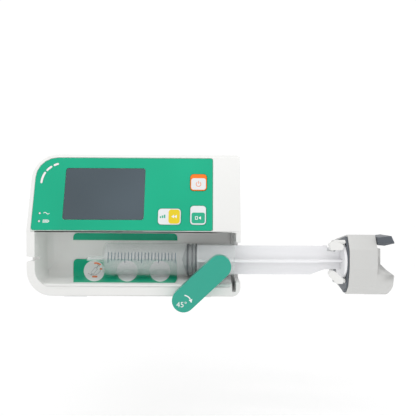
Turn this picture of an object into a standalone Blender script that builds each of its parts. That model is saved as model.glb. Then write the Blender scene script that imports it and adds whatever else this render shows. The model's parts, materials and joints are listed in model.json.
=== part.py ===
"""Syringe infusion pump for a pole: casing, keypad, syringe bay, clamp lever, screw drive and pole clamp.

Every number is in millimetres in the casing's own datum: x runs along the casing from its left end, y from
the syringe's axis towards the back, z up from the casing's underside. The helpers turn it into metres, with
the model's origin at the centre of the pole clamp's fixed jaw.
"""
import math

import bmesh
import bpy
from mathutils import Matrix, Vector

MM = 0.001
GAP = 0.3                                   # running clearance between touching pieces

# Casing
LENGTH, HEIGHT = 186.0, 125.4
SPLIT_Y, BACK_Y = 32.0, 100.0               # where the two shells meet, and the rear face
WALL = 2.5
LEAN = math.radians(14.5)                   # the front panel leans back
NOSE_Y, NOSE_Z = -24.0, 57.5                # the panel's lower front edge
PLINTH_Y = -22.0                            # front face of the base under the bay

# Front panel, in its own plane: u along x, v up the slope from the nose
OVERLAY = (3.8, 161.5, GAP, 66.65)          # left, right, low, high
OVERLAY_DEPTH = 0.7
WINDOW = (30.6, 101.1, 9.85, 56.8)
POWER_KEY = (141.7, 156.3, 36.4, 51.6)
BOLUS_KEY = (113.9, 133.8, 5.5, 19.8)
START_KEY = (142.0, 155.8, 5.5, 22.5)
KEY_PROUD, KEY_FOOT = 0.6, -4.5
LAMP_U, MAINS_V, BATTERY_V, LAMP_R = 10.3, 15.2, 8.1, 0.85
ALARM_U, ALARM_V, ALARM_R, ALARM_WIDTH = 27.5, 43.3, 18.2, 1.6
ALARM_DASHES = ((149.0, 180.0), (125.4, 140.6), (105.0, 116.0))

# Syringe bay
BAY_LEFT, BAY_RIGHT = 7.2, 179.0
BAY_BACK, BAY_CEILING = 17.8, 56.3
LIP_Y, LIP_Z, LIP_R = -20.0, 8.9, 2.0
TROUGH_Y, TROUGH_Z, TROUGH_R = -2.5, 33.5, 20.3
TROUGH_START = -83.0                        # the trough's arc starts here, in degrees
LABEL_LEFT, LABEL_RIGHT = 34.5, 129.3       # the trough label's ends at y = 0
LABEL_RUN, LABEL_TURN = 17.0, -15.0         # how far it runs to the front, and the arc angle at its top
OPERATOR_X, OPERATOR_Y = 157.5, -440.0      # the label's ends point at the operator
END_PLATE = 182.0                           # inner face of the right end plate

# Syringe
AXIS_Z = 30.3
BARREL_R, BORE_R = 15.8, 14.4
BARREL_FRONT, FLANGE_LEFT, FLANGE_RIGHT = 63.1, 179.5, 181.6
NOZZLE_TIP = 47.0
STOPPER_LEFT, STOPPER_RIGHT, STOPPER_TIP = 138.3, 147.6, 133.7
RIB_R, RIB_NECK_R, RIB_THICK = 13.1, 8.0, 2.0
DISC_LEFT, DISC_RIGHT, DISC_R = 278.6, 280.7, 17.1

# Drive
TUBE_Y, TUBE_Z, TUBE_R = 48.0, 27.0, 11.0
SCREW_Y, SCREW_Z, SCREW_R = 45.0, 50.0, 4.0
GUIDE_Z, GUIDE_R = 66.0, 3.0
MOTOR_Y = 75.0
PULLEY_R, BELT_THICK = 8.0, 1.2
LEFT_PLATE, RIGHT_PLATE, PLATE_THICK = 10.0, 176.0, 3.0
CARRIAGE_LEFT, CARRIAGE_RIGHT = 95.0, 107.0

# Pusher head
FACE_LEFT, FACE_RIGHT = 281.0, 282.7
HEAD_LEFT, HEAD_RIGHT, HEAD_BACK_RIGHT = 283.0, 307.7, 312.8
RELEASE_X, RELEASE_Z = 300.0, 47.0          # release lever's pin
CLAW_PIN_LEFT, CLAW_PIN_Y = 269.5, -9.5     # claw pins, parallel to x
CLAW_UP_Z, CLAW_LOW_Z = 47.6, 13.0
PIN_R = 1.0

# Clamp lever
LEVER_LOW, LEVER_HIGH, LEVER_R = (137.25, -0.97), (167.6, 27.7), 9.9
LEVER_FRONT, LEVER_BACK = -35.0, -23.0
PIVOT_X, PIVOT_Z, PIVOT_R = 143.6, 5.0, 2.0

# Pole clamp: its fixed jaw carries the origin
JAW = Vector((80.0, 126.0, 60.0))
JAW_GAP = 26.0
ARM_LEFT, ARM_RIGHT, ARM_END = 118.0, 130.0, 141.0
POLE_SCREW_R = 5.0

FINISHES = {                                # colour, roughness, metallic
    "white_plastic": ((0.82, 0.82, 0.80), 0.42, 0.0),
    "grey_plastic": ((0.27, 0.29, 0.31), 0.45, 0.0),
    "dark_plastic": ((0.13, 0.15, 0.16), 0.40, 0.0),
    "black_plastic": ((0.03, 0.03, 0.035), 0.50, 0.0),
    "panel_green": ((0.02, 0.45, 0.27), 0.35, 0.0),
    "lever_green": ((0.03, 0.42, 0.30), 0.35, 0.0),
    "key_white": ((0.72, 0.75, 0.76), 0.35, 0.0),
    "key_orange": ((0.84, 0.19, 0.02), 0.35, 0.0),
    "screen_glass": ((0.08, 0.10, 0.12), 0.12, 0.0),
    "light_guide": ((0.80, 0.84, 0.80), 0.25, 0.0),
    "clear_plastic": ((0.75, 0.82, 0.82), 0.15, 0.0),
    "rod_plastic": ((0.80, 0.80, 0.82), 0.35, 0.0),
    "black_rubber": ((0.04, 0.045, 0.05), 0.70, 0.0),
    "foot_rubber": ((0.55, 0.56, 0.56), 0.75, 0.0),
    "circuit_board": ((0.03, 0.20, 0.08), 0.50, 0.0),
    "steel": ((0.60, 0.61, 0.62), 0.30, 1.0),
    "zinc_sheet": ((0.62, 0.63, 0.62), 0.45, 1.0),
    "alloy": ((0.75, 0.76, 0.77), 0.35, 1.0),
    "battery_wrap": ((0.05, 0.12, 0.35), 0.45, 0.0),
}


def direction(axis):
    return {"x": Vector((1, 0, 0)), "y": Vector((0, 1, 0)), "z": Vector((0, 0, 1))}[axis]


def frame(u, v, w, origin=(0.0, 0.0, 0.0)):
    """A drawing plane as a matrix: outlines are drawn along u and v and extruded along w."""
    rotation = Matrix((u, v, w)).transposed().to_4x4()
    return Matrix.Translation(Vector(origin)) @ rotation


X, Y, Z = direction("x"), direction("y"), direction("z")
SLOPE = Vector((0.0, math.sin(LEAN), math.cos(LEAN)))
OUTWARD = X.cross(SLOPE)
FRONT = frame(X, Z, Y)                      # (x, z) outlines, extruded along y
SIDE = frame(Y, Z, X)                       # (y, z) outlines, extruded along x
PLAN = frame(X, Y, Z)                       # (x, y) outlines, extruded along z
PANEL = frame(X, SLOPE, OUTWARD, (0.0, NOSE_Y, NOSE_Z))
PANEL_TOP_Y = NOSE_Y + (HEIGHT - NOSE_Z) * math.tan(LEAN)

parts = bpy.data.collections.new("infusion_pump")
cutters = bpy.data.collections.new("cutters")


# ---------------------------------------------------------------- outlines

def arc(cu, cv, radius, start, end, steps=6):
    angles = [math.radians(start + (end - start) * i / steps) for i in range(steps + 1)]
    return [(cu + radius * math.cos(a), cv + radius * math.sin(a)) for a in angles]


def rounded(corners, steps=5):
    """An outline from (u, v, radius) corners; a radius becomes an arc, and 0 stays sharp."""
    points = []
    for i, (u, v, radius) in enumerate(corners):
        corner = Vector((u, v))
        if radius == 0:
            points.append((u, v))
            continue
        back = (Vector(corners[i - 1][:2]) - corner).normalized()
        ahead = (Vector(corners[(i + 1) % len(corners)][:2]) - corner).normalized()
        half = back.angle(ahead) / 2
        centre = corner + (back + ahead).normalized() * radius / math.sin(half)
        start = corner + back * radius / math.tan(half) - centre
        end = corner + ahead * radius / math.tan(half) - centre
        first = math.atan2(start.y, start.x)
        turn = (math.atan2(end.y, end.x) - first + math.pi) % (2 * math.pi) - math.pi
        points += arc(centre.x, centre.y, radius, math.degrees(first), math.degrees(first + turn), steps)
    return points


def rectangle(left, right, low, high, radius=0.0, grow=0.0):
    left, right, low, high = left - grow, right + grow, low - grow, high + grow
    radius = radius + grow if radius else 0.0
    return rounded([(u, v, radius) for u, v in ((left, low), (right, low), (right, high), (left, high))])


def circle(cu, cv, radius, steps=24):
    return arc(cu, cv, radius, 0, 360, steps)[:-1]


def stadium(low, high, radius, steps=14):
    """The outline round two end circles."""
    along = math.degrees(math.atan2(high[1] - low[1], high[0] - low[0]))
    return (arc(*high, radius, along - 90, along + 90, steps)
            + arc(*low, radius, along + 90, along + 270, steps))


def ring_sector(cu, cv, inner, outer, start, end, steps=5):
    return arc(cu, cv, outer, start, end, steps) + arc(cu, cv, inner, end, start, steps)


def casing_outline(inset=0.0):
    """The casing seen from the front."""
    return rounded([(inset, inset, 22.0 - inset), (LENGTH - inset, inset, 8.0 - inset),
                    (LENGTH - inset, HEIGHT - inset, 3.5 - inset), (inset, HEIGHT - inset, 22.5 - inset)], 10)


# ---------------------------------------------------------------- solids

def weld(mesh):
    """Joins loose caps to their walls and turns every face outwards."""
    bm = bmesh.new()
    bm.from_mesh(mesh)
    bmesh.ops.remove_doubles(bm, verts=bm.verts, dist=0.000001)
    bmesh.ops.recalc_face_normals(bm, faces=bm.faces)
    bm.to_mesh(mesh)
    bm.free()


def add(name, mesh, finish, origin=None):
    """Links a mesh drawn in datum metres as a part, or as a cutter where it has no finish."""
    centre = JAW * MM if origin is None else Vector(origin) * MM
    mesh.transform(Matrix.Translation(-centre))
    mesh.name = name
    part = bpy.data.objects.new(name, mesh)
    part.location = centre - JAW * MM
    if finish is None:
        part.hide_render = True
        part.display_type = "WIRE"
        cutters.objects.link(part)
        return part
    colour, roughness, metallic = FINISHES[finish]
    material = bpy.data.materials.new(name)
    material.use_nodes = True
    shader = material.node_tree.nodes["Principled BSDF"]
    shader.inputs["Base Color"].default_value = (*colour, 1.0)
    shader.inputs["Roughness"].default_value = roughness
    shader.inputs["Metallic"].default_value = metallic
    mesh.materials.append(material)
    parts.objects.link(part)
    return part


def prism(name, outlines, plane, low, high, finish=None, origin=None):
    """A flat outline, or an outline and its holes, extruded from low to high along the plane's axis."""
    outlines = outlines if isinstance(outlines[0], list) else [outlines]
    curve = bpy.data.curves.new(name, "CURVE")
    curve.dimensions = "2D"
    curve.fill_mode = "BOTH"
    curve.extrude = (high - low) / 2 * MM
    for points in outlines:
        spline = curve.splines.new("POLY")
        spline.points.add(len(points) - 1)
        for control, (u, v) in zip(spline.points, points):
            control.co = (u * MM, v * MM, 0.0, 1.0)
        spline.use_cyclic_u = True
    drawing = bpy.data.objects.new(name, curve)
    bpy.context.scene.collection.objects.link(drawing)
    bpy.context.view_layer.update()
    depsgraph = bpy.context.evaluated_depsgraph_get()
    mesh = bpy.data.meshes.new_from_object(drawing.evaluated_get(depsgraph))
    bpy.data.objects.remove(drawing)
    bpy.data.curves.remove(curve)
    placed = plane.copy()
    placed.translation = placed.translation * MM
    mesh.transform(placed @ Matrix.Translation((0.0, 0.0, (low + high) / 2 * MM)))
    weld(mesh)
    return add(name, mesh, finish, origin)


def box(name, x, y, z, finish=None, origin=None):
    """A box between the two ends given along each axis."""
    bm = bmesh.new()
    bmesh.ops.create_cube(bm, size=1.0)
    middle = Vector((sum(x), sum(y), sum(z))) / 2 * MM
    size = (x[1] - x[0], y[1] - y[0], z[1] - z[0])
    bmesh.ops.scale(bm, vec=Vector(size) * MM, verts=bm.verts)
    bmesh.ops.translate(bm, vec=middle, verts=bm.verts)
    mesh = bpy.data.meshes.new(name)
    bm.to_mesh(mesh)
    bm.free()
    return add(name, mesh, finish, origin)


def rod(name, axis, start, length, radius, finish=None, origin=None, sides=24):
    """A cylinder from its start point along x or y."""
    bm = bmesh.new()
    bmesh.ops.create_cone(bm, cap_ends=True, segments=sides, radius1=radius * MM, radius2=radius * MM,
                          depth=length * MM)
    turn = direction("z").rotation_difference(direction(axis)).to_matrix().to_4x4()
    middle = (Vector(start) + direction(axis) * length / 2) * MM
    bmesh.ops.transform(bm, matrix=Matrix.Translation(middle) @ turn, verts=bm.verts)
    mesh = bpy.data.meshes.new(name)
    bm.to_mesh(mesh)
    bm.free()
    return add(name, mesh, finish, origin)


def turned(name, profile, finish=None, origin=None, steps=32):
    """A profile of (x, radius) points spun round the syringe's axis with a Screw modifier."""
    bm = bmesh.new()
    verts = [bm.verts.new((x * MM, radius * MM, 0.0)) for x, radius in profile]
    for i, vert in enumerate(verts):
        bm.edges.new((verts[i - 1], vert))
    mesh = bpy.data.meshes.new(name)
    bm.to_mesh(mesh)
    bm.free()
    lathe = bpy.data.objects.new(name, mesh)
    bpy.context.scene.collection.objects.link(lathe)
    screw = lathe.modifiers.new("spin", "SCREW")
    screw.axis = "X"
    screw.steps = screw.render_steps = steps
    screw.use_merge_vertices = True
    screw.merge_threshold = 0.00001
    bpy.context.view_layer.update()
    depsgraph = bpy.context.evaluated_depsgraph_get()
    spun = bpy.data.meshes.new_from_object(lathe.evaluated_get(depsgraph))
    bpy.data.objects.remove(lathe)
    spun.transform(Matrix.Translation((0.0, 0.0, AXIS_Z * MM)))
    weld(spun)
    return add(name, spun, finish, origin)


def combine(part, others, operation):
    for other in others:
        boolean = part.modifiers.new(other.name, "BOOLEAN")
        boolean.operation = operation
        boolean.object = other
        boolean.solver = "EXACT"
    return part


def cut(part, *others):
    return combine(part, others, "DIFFERENCE")


def join(part, *others):
    return combine(part, others, "UNION")


def keep_inside(part, *others):
    return combine(part, others, "INTERSECT")


# ---------------------------------------------------------------- casing

def bay_cutter():
    """The syringe bay: a sloping lip, a round trough, an upright back wall and a level ceiling."""
    profile = ([(-40.0, LIP_Z)] + arc(LIP_Y, LIP_Z, LIP_R, 180, 97, 4)
               + arc(TROUGH_Y, TROUGH_Z, TROUGH_R, TROUGH_START, 0, 10)
               + [(BAY_BACK, BAY_CEILING), (-40.0, BAY_CEILING)])
    bay = prism("bay", profile, SIDE, BAY_LEFT, BAY_RIGHT)
    opening = prism("bay_opening", rounded([(BAY_LEFT, LIP_Z - 1, 15), (BAY_RIGHT + 1, LIP_Z - 1, 0),
                                            (BAY_RIGHT + 1, 60, 0), (BAY_LEFT, 60, 0)]), FRONT, -45, 25)
    plan = prism("bay_plan", rounded([(BAY_LEFT, -45, 0), (BAY_RIGHT + 1, -45, 0),
                                      (BAY_RIGHT + 1, BAY_BACK, 0), (BAY_LEFT, BAY_BACK, 11)]), PLAN, 0, 65)
    return keep_inside(bay, opening, plan)


def front_cavities():
    """The room behind the panel and bay, and the room under the trough."""
    inner = NOSE_Y + (WALL + 1.0) / math.cos(LEAN)
    ceiling, top = BAY_CEILING + WALL, HEIGHT - WALL
    profile = [(SPLIT_Y + 1, WALL), (BAY_BACK + 2.6, WALL), (BAY_BACK + 2.6, ceiling),
               (inner + (ceiling - NOSE_Z) * math.tan(LEAN), ceiling),
               (inner + (top - NOSE_Z) * math.tan(LEAN), top), (SPLIT_Y + 1, top)]
    upper = prism("panel_room", profile, SIDE, WALL, LENGTH - WALL)
    keep_inside(upper, prism("panel_room_outline", casing_outline(WALL), FRONT, -30, SPLIT_Y + 2))
    under = ([(BAY_BACK + 3, WALL), (PLINTH_Y + 2.6, WALL), (PLINTH_Y + 2.6, 8.2)]
             + arc(TROUGH_Y, TROUGH_Z, TROUGH_R + WALL, TROUGH_START, -10, 8) + [(BAY_BACK + 3, 29.5)])
    lower = prism("trough_room", under, SIDE, 22, RIGHT_PLATE)
    return upper, lower


def panel_openings(depth_low, depth_high, grow, label):
    """Key, lamp and alarm-light holes through the panel."""
    holes = [prism(f"{label}_{name}_hole", rectangle(*key, 3.0, grow), PANEL, depth_low, depth_high)
             for name, key in (("power", POWER_KEY), ("bolus", BOLUS_KEY), ("start", START_KEY))]
    holes += [rod_through_panel(f"{label}_{name}_hole", v, LAMP_R + grow, depth_low, depth_high)
              for name, v in (("mains", MAINS_V), ("battery", BATTERY_V))]
    half = ALARM_WIDTH / 2 + grow
    spread = math.degrees(grow / ALARM_R)
    for i, (start, end) in enumerate(ALARM_DASHES):
        dash = ring_sector(ALARM_U, ALARM_V, ALARM_R - half, ALARM_R + half, start - spread, end + spread)
        holes.append(prism(f"{label}_alarm_hole_{i}", dash, PANEL, depth_low, depth_high))
    return holes


def rod_through_panel(name, v, radius, low, high, finish=None):
    return prism(name, circle(LAMP_U, v, radius, 12), PANEL, low, high, finish)


def trough_band(face, back):
    """A thin sheet's section that follows the trough from its crease down to the lip."""
    band = arc(TROUGH_Y, TROUGH_Z, back, TROUGH_START, -3, 10) + arc(TROUGH_Y, TROUGH_Z, face, -3, TROUGH_START, 10)
    slope = math.radians(TROUGH_START + 90)
    run = 18.0
    for y, z in (band[-1], band[0]):
        band.append((y - run * math.cos(slope), z - run * math.sin(slope)))
    return band


def label_outline(grow):
    """The label seen from the front: its ends lie in upright planes through the operator."""
    slope = math.radians(TROUGH_START + 90)
    foot = arc(TROUGH_Y, TROUGH_Z, TROUGH_R, TROUGH_START, TROUGH_START, 1)[0]
    path = [(foot[0] - LABEL_RUN * math.cos(slope), foot[1] - LABEL_RUN * math.sin(slope))]
    path += arc(TROUGH_Y, TROUGH_Z, TROUGH_R, TROUGH_START, LABEL_TURN, 5)
    ends = []
    for end, side in ((LABEL_RIGHT, 1), (LABEL_LEFT, -1)):
        ends.append([(OPERATOR_X + (end - OPERATOR_X) * (y - OPERATOR_Y) / -OPERATOR_Y + side * grow, z, 0)
                     for y, z in path])
    right, left = ends
    outline = right + left[::-1]
    low, high = outline[0][1] - grow, right[-1][1] + grow
    corners = {0: low, len(path) - 1: high, len(path): high, len(outline) - 1: low}
    for i, z in corners.items():
        outline[i] = (outline[i][0], z, 3.0 if z == high else 1.5)
    return rounded(outline, 4)


def trough_sheet(name, face, back, grow, finish=None):
    """The trough label's sheet, or its seat grown all round."""
    sheet = prism(name, trough_band(face, back), SIDE, 20, 140, finish)
    return keep_inside(sheet, prism(f"{name}_outline", label_outline(grow), FRONT, -60, 30))


def front_case():
    profile = rounded([(SPLIT_Y, 0, 0), (PLINTH_Y, 0, 1.5), (NOSE_Y, NOSE_Z, 0),
                       (PANEL_TOP_Y, HEIGHT, 3.4), (SPLIT_Y, HEIGHT, 0)])
    case = prism("front_case", profile, SIDE, 0, LENGTH, "white_plastic")
    keep_inside(case, prism("front_outline", casing_outline(), FRONT, -30, SPLIT_Y + 1))
    flange_groove = box("flange_groove", (178.9, END_PLATE), (-40, BAY_BACK + 0.4), (4.5, 56.0))
    rod_notch = prism("rod_notch", rounded([(-40, 13, 0), (BAY_BACK, 13, 10), (BAY_BACK, 47.5, 10),
                                            (-40, 47.5, 0)]), SIDE, END_PLATE - 1, LENGTH + 1)
    line_slot = prism("line_slot", [(-1, 29.8), (8, 31.0), (8, 33.6), (-1, 34.8)], FRONT, -40, -9)
    left, right, low, high = OVERLAY
    seat = rounded([(left - GAP, -1, 0), (right + GAP, -1, 0), (right + GAP, high + GAP, 2),
                    (left - GAP, high + GAP, 18.5)])
    overlay_seat = prism("overlay_seat", seat, PANEL, -1.0, 3.0)
    label_seat = trough_sheet("label_seat", TROUGH_R - 1, TROUGH_R + 0.8, GAP)
    window = prism("window_hole", rectangle(*WINDOW, 2.0, -2.0), PANEL, -6, 1)
    shaft_hole = rod("shaft_hole", "y", (PIVOT_X, -30, PIVOT_Z), 18, PIVOT_R + 1.6)
    cut(case, bay_cutter(), flange_groove, rod_notch, line_slot, *front_cavities(), overlay_seat, label_seat,
        window, shaft_hole, *panel_openings(-6, 1, GAP, "case"))


def rear_case():
    case = prism("rear_case", casing_outline(), FRONT, SPLIT_Y + GAP, BACK_Y, "white_plastic")
    side = prism("rear_side", rounded([(SPLIT_Y, -1, 0), (SPLIT_Y, HEIGHT + 1, 0), (BACK_Y, HEIGHT, 5),
                                       (BACK_Y, 0, 5)], 4), SIDE, -1, LENGTH + 1)
    plan = prism("rear_plan", rounded([(-1, SPLIT_Y, 0), (0, BACK_Y, 5), (LENGTH, BACK_Y, 5),
                                       (LENGTH + 1, SPLIT_Y, 0)], 4), PLAN, -1, HEIGHT + 1)
    room = prism("rear_room", casing_outline(WALL), FRONT, SPLIT_Y - 1, BACK_Y - WALL)
    tube_hole = rod("tube_hole", "x", (178, TUBE_Y, TUBE_Z), 12, TUBE_R + 3.3)
    inlet_hole = box("inlet_hole", (13.7, 44.3), (90, 110), (83.7, 108.3))
    battery_hole = box("battery_hole", (60, 150), (62, 92), (-1, 5))
    keep_inside(case, side, plan)
    cut(case, room, tube_hole, inlet_hole, battery_hole)


def casing_trim():
    box("battery_cover", (60.3, 149.7), (62.3, 91.7), (0, 2.2), "white_plastic")
    bushing = rod("tube_bushing", "x", (182.5, TUBE_Y, TUBE_Z), 4.5, TUBE_R + 3.0, "dark_plastic")
    cut(bushing, rod("tube_bushing_bore", "x", (180, TUBE_Y, TUBE_Z), 10, TUBE_R + GAP))
    for row, y in (("front", -8.0), ("rear", 80.0)):
        for end, x in (("left", 28.0), ("right", 140.0)):
            box(f"{row}_{end}_foot", (x, x + 21), (y, y + 10), (-2.8, -GAP), "foot_rubber")
    strip = rounded([(29.3, 46.4, 0), (128.5, 46.4, 0), (128.5, 53.0, 4), (29.3, 53.0, 4)])
    prism("bay_strip", strip, FRONT, BAY_BACK - 0.8, BAY_BACK - GAP, "panel_green")
    trough_sheet("trough_label", TROUGH_R, TROUGH_R + 0.5, 0, "panel_green")


# ---------------------------------------------------------------- panel

def panel():
    left, right, low, high = OVERLAY
    outline = rounded([(left, low, 2), (right, low, 2), (right, high, 2), (left, high, 18.5)])
    window = rectangle(*WINDOW, 2.0, GAP)
    overlay = prism("panel_overlay", [outline, window], PANEL, -OVERLAY_DEPTH, 0, "panel_green")
    cut(overlay, *panel_openings(-3, 3, GAP, "overlay"))
    prism("screen_glass", rectangle(*WINDOW, 2.0), PANEL, -OVERLAY_DEPTH, -0.05, "screen_glass")
    prism("display_module", rectangle(28, 104, 7, 60), PANEL, -9.6, -3.9, "black_plastic")
    prism("keypad_board", rectangle(108, 160, 4, 56), PANEL, -7.2, -5.8, "circuit_board")
    for name, key, finish in (("power_key", POWER_KEY, "key_orange"), ("bolus_key", BOLUS_KEY, "key_white"),
                              ("start_key", START_KEY, "key_white")):
        prism(name, rectangle(*key, 3.0), PANEL, KEY_FOOT, KEY_PROUD, finish, panel_point(key))
    rod_through_panel("mains_lamp", MAINS_V, LAMP_R, -5, -0.05, "light_guide")
    rod_through_panel("battery_lamp", BATTERY_V, LAMP_R, -5, -0.05, "light_guide")
    half = ALARM_WIDTH / 2
    backing = ring_sector(ALARM_U, ALARM_V, ALARM_R - 2.5, ALARM_R + 2.5, 101, 184, 8)
    guide = prism("alarm_light_guide", backing, PANEL, -5.3, -3.9, "light_guide")
    join(guide, *[prism(f"alarm_dash_{i}", ring_sector(ALARM_U, ALARM_V, ALARM_R - half, ALARM_R + half, *ends),
                        PANEL, -4.5, -0.05) for i, ends in enumerate(ALARM_DASHES)])


def panel_point(key):
    """The middle of a key on the panel's surface, in datum millimetres."""
    return PANEL @ Vector(((key[0] + key[1]) / 2, (key[2] + key[3]) / 2, 0.0))


# ---------------------------------------------------------------- electronics

def electronics():
    box("main_board", (12, 172), (25, 26.6), (62, 118), "circuit_board")
    box("battery_pack", (62, 148), (64, 90), (4, 28), "battery_wrap")
    box("power_module", (60, 120), (62, 92), (84, 114), "zinc_sheet")
    rod("speaker", "y", (150, 88, 98), 9, 14, "black_plastic")
    inlet = box("power_inlet", (14, 44), (80, 100.4), (84, 108), "black_plastic")
    cut(inlet, box("inlet_socket", (17, 41), (84, 101), (87.5, 104.5)))
    join(inlet, *[box(f"inlet_pin_{i}", (x - 1, x + 1), (83, 98), (z - 2, z + 2))
                  for i, (x, z) in enumerate(((22, 94), (29, 98.5), (36, 94)))])


# ---------------------------------------------------------------- syringe

def syringe():
    profile = [(NOZZLE_TIP, 1.85), (61.5, 3.2), (61.5, 4.5), (BARREL_FRONT, BARREL_R - 2),
               (BARREL_FRONT + 2, BARREL_R), (FLANGE_RIGHT, BARREL_R), (FLANGE_RIGHT, BORE_R),
               (65.5, BORE_R), (63.8, 2.0), (62.5, 1.0), (NOZZLE_TIP, 1.0)]
    barrel = turned("syringe_barrel", profile, "clear_plastic")
    wings = rounded([(-12, AXIS_Z - 25, 6), (12, AXIS_Z - 25, 6), (17, AXIS_Z - 8, 6), (17, AXIS_Z + 8, 6),
                     (12, AXIS_Z + 25, 6), (-12, AXIS_Z + 25, 6), (-17, AXIS_Z + 8, 6), (-17, AXIS_Z - 8, 6)], 3)
    flange = prism("barrel_flange", [wings, circle(0, AXIS_Z, BORE_R + 0.5, 32)], SIDE, FLANGE_LEFT, FLANGE_RIGHT)
    join(barrel, flange)
    groove = 1.6
    turned("plunger_stopper", [(STOPPER_TIP, 0.0), (STOPPER_LEFT, BORE_R - GAP), (140.4, BORE_R - GAP),
                               (141.0, BORE_R - groove), (142.6, BORE_R - groove), (143.2, BORE_R - GAP),
                               (144.2, BORE_R - GAP), (144.8, BORE_R - groove), (146.0, BORE_R - groove),
                               (146.5, BORE_R - GAP), (STOPPER_RIGHT, BORE_R - GAP), (STOPPER_RIGHT, 0.0)],
           "black_rubber")
    start, taper, neck = STOPPER_RIGHT + GAP, 251.0, 265.0
    upright = [(start, AXIS_Z - RIB_R), (taper, AXIS_Z - RIB_R), (neck, AXIS_Z - RIB_NECK_R),
               (DISC_RIGHT - 1, AXIS_Z - RIB_NECK_R), (DISC_RIGHT - 1, AXIS_Z + RIB_NECK_R),
               (266.6, AXIS_Z + RIB_NECK_R), (266.6, AXIS_Z + RIB_R + 0.6), (263.0, AXIS_Z + RIB_R + 0.6),
               (263.0, AXIS_Z + RIB_R), (start, AXIS_Z + RIB_R)]
    level = [(start, -RIB_R), (taper, -RIB_R), (neck, -RIB_NECK_R), (DISC_RIGHT - 1, -RIB_NECK_R),
             (DISC_RIGHT - 1, RIB_NECK_R), (neck, RIB_NECK_R), (taper, RIB_R), (start, RIB_R)]
    plunger = prism("plunger_rod", upright, FRONT, -RIB_THICK / 2, RIB_THICK / 2, "rod_plastic")
    rib = prism("level_rib", level, PLAN, AXIS_Z - RIB_THICK / 2, AXIS_Z + RIB_THICK / 2)
    disc = rod("thumb_disc", "x", (DISC_LEFT, 0, AXIS_Z), DISC_RIGHT - DISC_LEFT, DISC_R, sides=32)
    root_disc = rod("root_disc", "x", (start, 0, AXIS_Z), 1.5, RIB_R, sides=32)
    join(plunger, rib, disc, root_disc)


# ---------------------------------------------------------------- drive

def drive():
    chassis = box("chassis", (LEFT_PLATE, RIGHT_PLATE + PLATE_THICK), (54.3, 56.3), (40, 76), "zinc_sheet")
    left = box("left_plate", (LEFT_PLATE, LEFT_PLATE + PLATE_THICK), (35, 94), (26, 76))
    right = box("right_plate", (RIGHT_PLATE, RIGHT_PLATE + PLATE_THICK), (35, 64), (10, 76))
    join(chassis, left, right)
    cut(chassis, rod("screw_seats", "x", (0, SCREW_Y, SCREW_Z), 190, 8.3),
        rod("motor_shaft_hole", "x", (0, MOTOR_Y, SCREW_Z), 20, 3.3),
        rod("guide_seats", "x", (0, SCREW_Y, GUIDE_Z), 190, GUIDE_R + GAP),
        rod("tube_way", "x", (150, TUBE_Y, TUBE_Z), 40, TUBE_R + 1))
    for name, x in (("left_bearing", LEFT_PLATE), ("right_bearing", RIGHT_PLATE)):
        bearing = rod(name, "x", (x, SCREW_Y, SCREW_Z), PLATE_THICK, 8.0, "steel")
        cut(bearing, rod(f"{name}_bore", "x", (x - 1, SCREW_Y, SCREW_Z), 5, SCREW_R + GAP))
    rod("guide_rod", "x", (LEFT_PLATE, SCREW_Y, GUIDE_Z), RIGHT_PLATE + PLATE_THICK - LEFT_PLATE, GUIDE_R, "steel")
    rod("leadscrew", "x", (4, SCREW_Y, SCREW_Z), 176, SCREW_R, "steel", (4, SCREW_Y, SCREW_Z))
    pulley = rod("leadscrew_pulley", "x", (4.4, SCREW_Y, SCREW_Z), 4.4, PULLEY_R, "alloy", (4.4, SCREW_Y, SCREW_Z))
    cut(pulley, rod("leadscrew_pulley_bore", "x", (3, SCREW_Y, SCREW_Z), 8, SCREW_R + GAP))
    motor_shaft = rod("motor_pulley", "x", (4.4, MOTOR_Y, SCREW_Z), 4.4, PULLEY_R, "alloy",
                      (4.4, MOTOR_Y, SCREW_Z))
    join(motor_shaft, rod("motor_shaft", "x", (6, MOTOR_Y, SCREW_Z), 8.5, 2.5))
    motor = prism("stepper_motor", rounded([(57.5, 32.5, 4), (92.5, 32.5, 4), (92.5, 67.5, 4), (57.5, 67.5, 4)], 3),
                  SIDE, LEFT_PLATE + PLATE_THICK + GAP, 50, "dark_plastic")
    cut(motor, rod("motor_bore", "x", (10, MOTOR_Y, SCREW_Z), 6, 3.0))
    ends = (SCREW_Y, SCREW_Z), (MOTOR_Y, SCREW_Z)
    prism("timing_belt", [stadium(*ends, PULLEY_R + GAP + BELT_THICK), stadium(*ends, PULLEY_R + GAP)],
          SIDE, 4.7, 8.5, "black_rubber")
    carriage = box("drive_carriage", (CARRIAGE_LEFT, CARRIAGE_RIGHT), (36, 53), (13, 72), "alloy")
    cut(carriage, rod("carriage_screw_bore", "x", (90, SCREW_Y, SCREW_Z), 30, SCREW_R + GAP),
        rod("carriage_guide_bore", "x", (90, SCREW_Y, GUIDE_Z), 30, GUIDE_R + GAP))
    tube = rod("drive_tube", "x", (CARRIAGE_RIGHT + GAP, TUBE_Y, TUBE_Z), 192, TUBE_R, "steel", sides=32)
    cut(tube, rod("tube_bore", "x", (100, TUBE_Y, TUBE_Z), 210, TUBE_R - 1.5))


# ---------------------------------------------------------------- pusher head

def head_outline():
    """The head seen along x: upright at the syringe, sloping down to the back round the drive tube."""
    return rounded([(-8.5, 54.4, 2), (-16, 41, 3), (-16, 24, 3), (-12.2, 8.5, 3), (-3.8, -0.3, 3), (30, 5, 4),
                    (58, 13, 8), (58, 41, 8), (33, 47.5, 4)], 4)


def heel():
    """The heel under the release lever: the head's section, a hair inside it, run on under a sloping top."""
    outline = [(300, -2), (317, -2), (321, 1.0), (322.6, 5), (323, 18), (311, 29.5), (300, 29.5)]
    section = [(-14.67, 19.0), (-12.1, 8.6), (-3.75, -0.15), (24, 4.2), (24, 31), (-8, 31), (-8, 23)]
    return keep_inside(prism("heel", outline, FRONT, -17, 24), prism("heel_section", section, SIDE, 290, 330))


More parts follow.
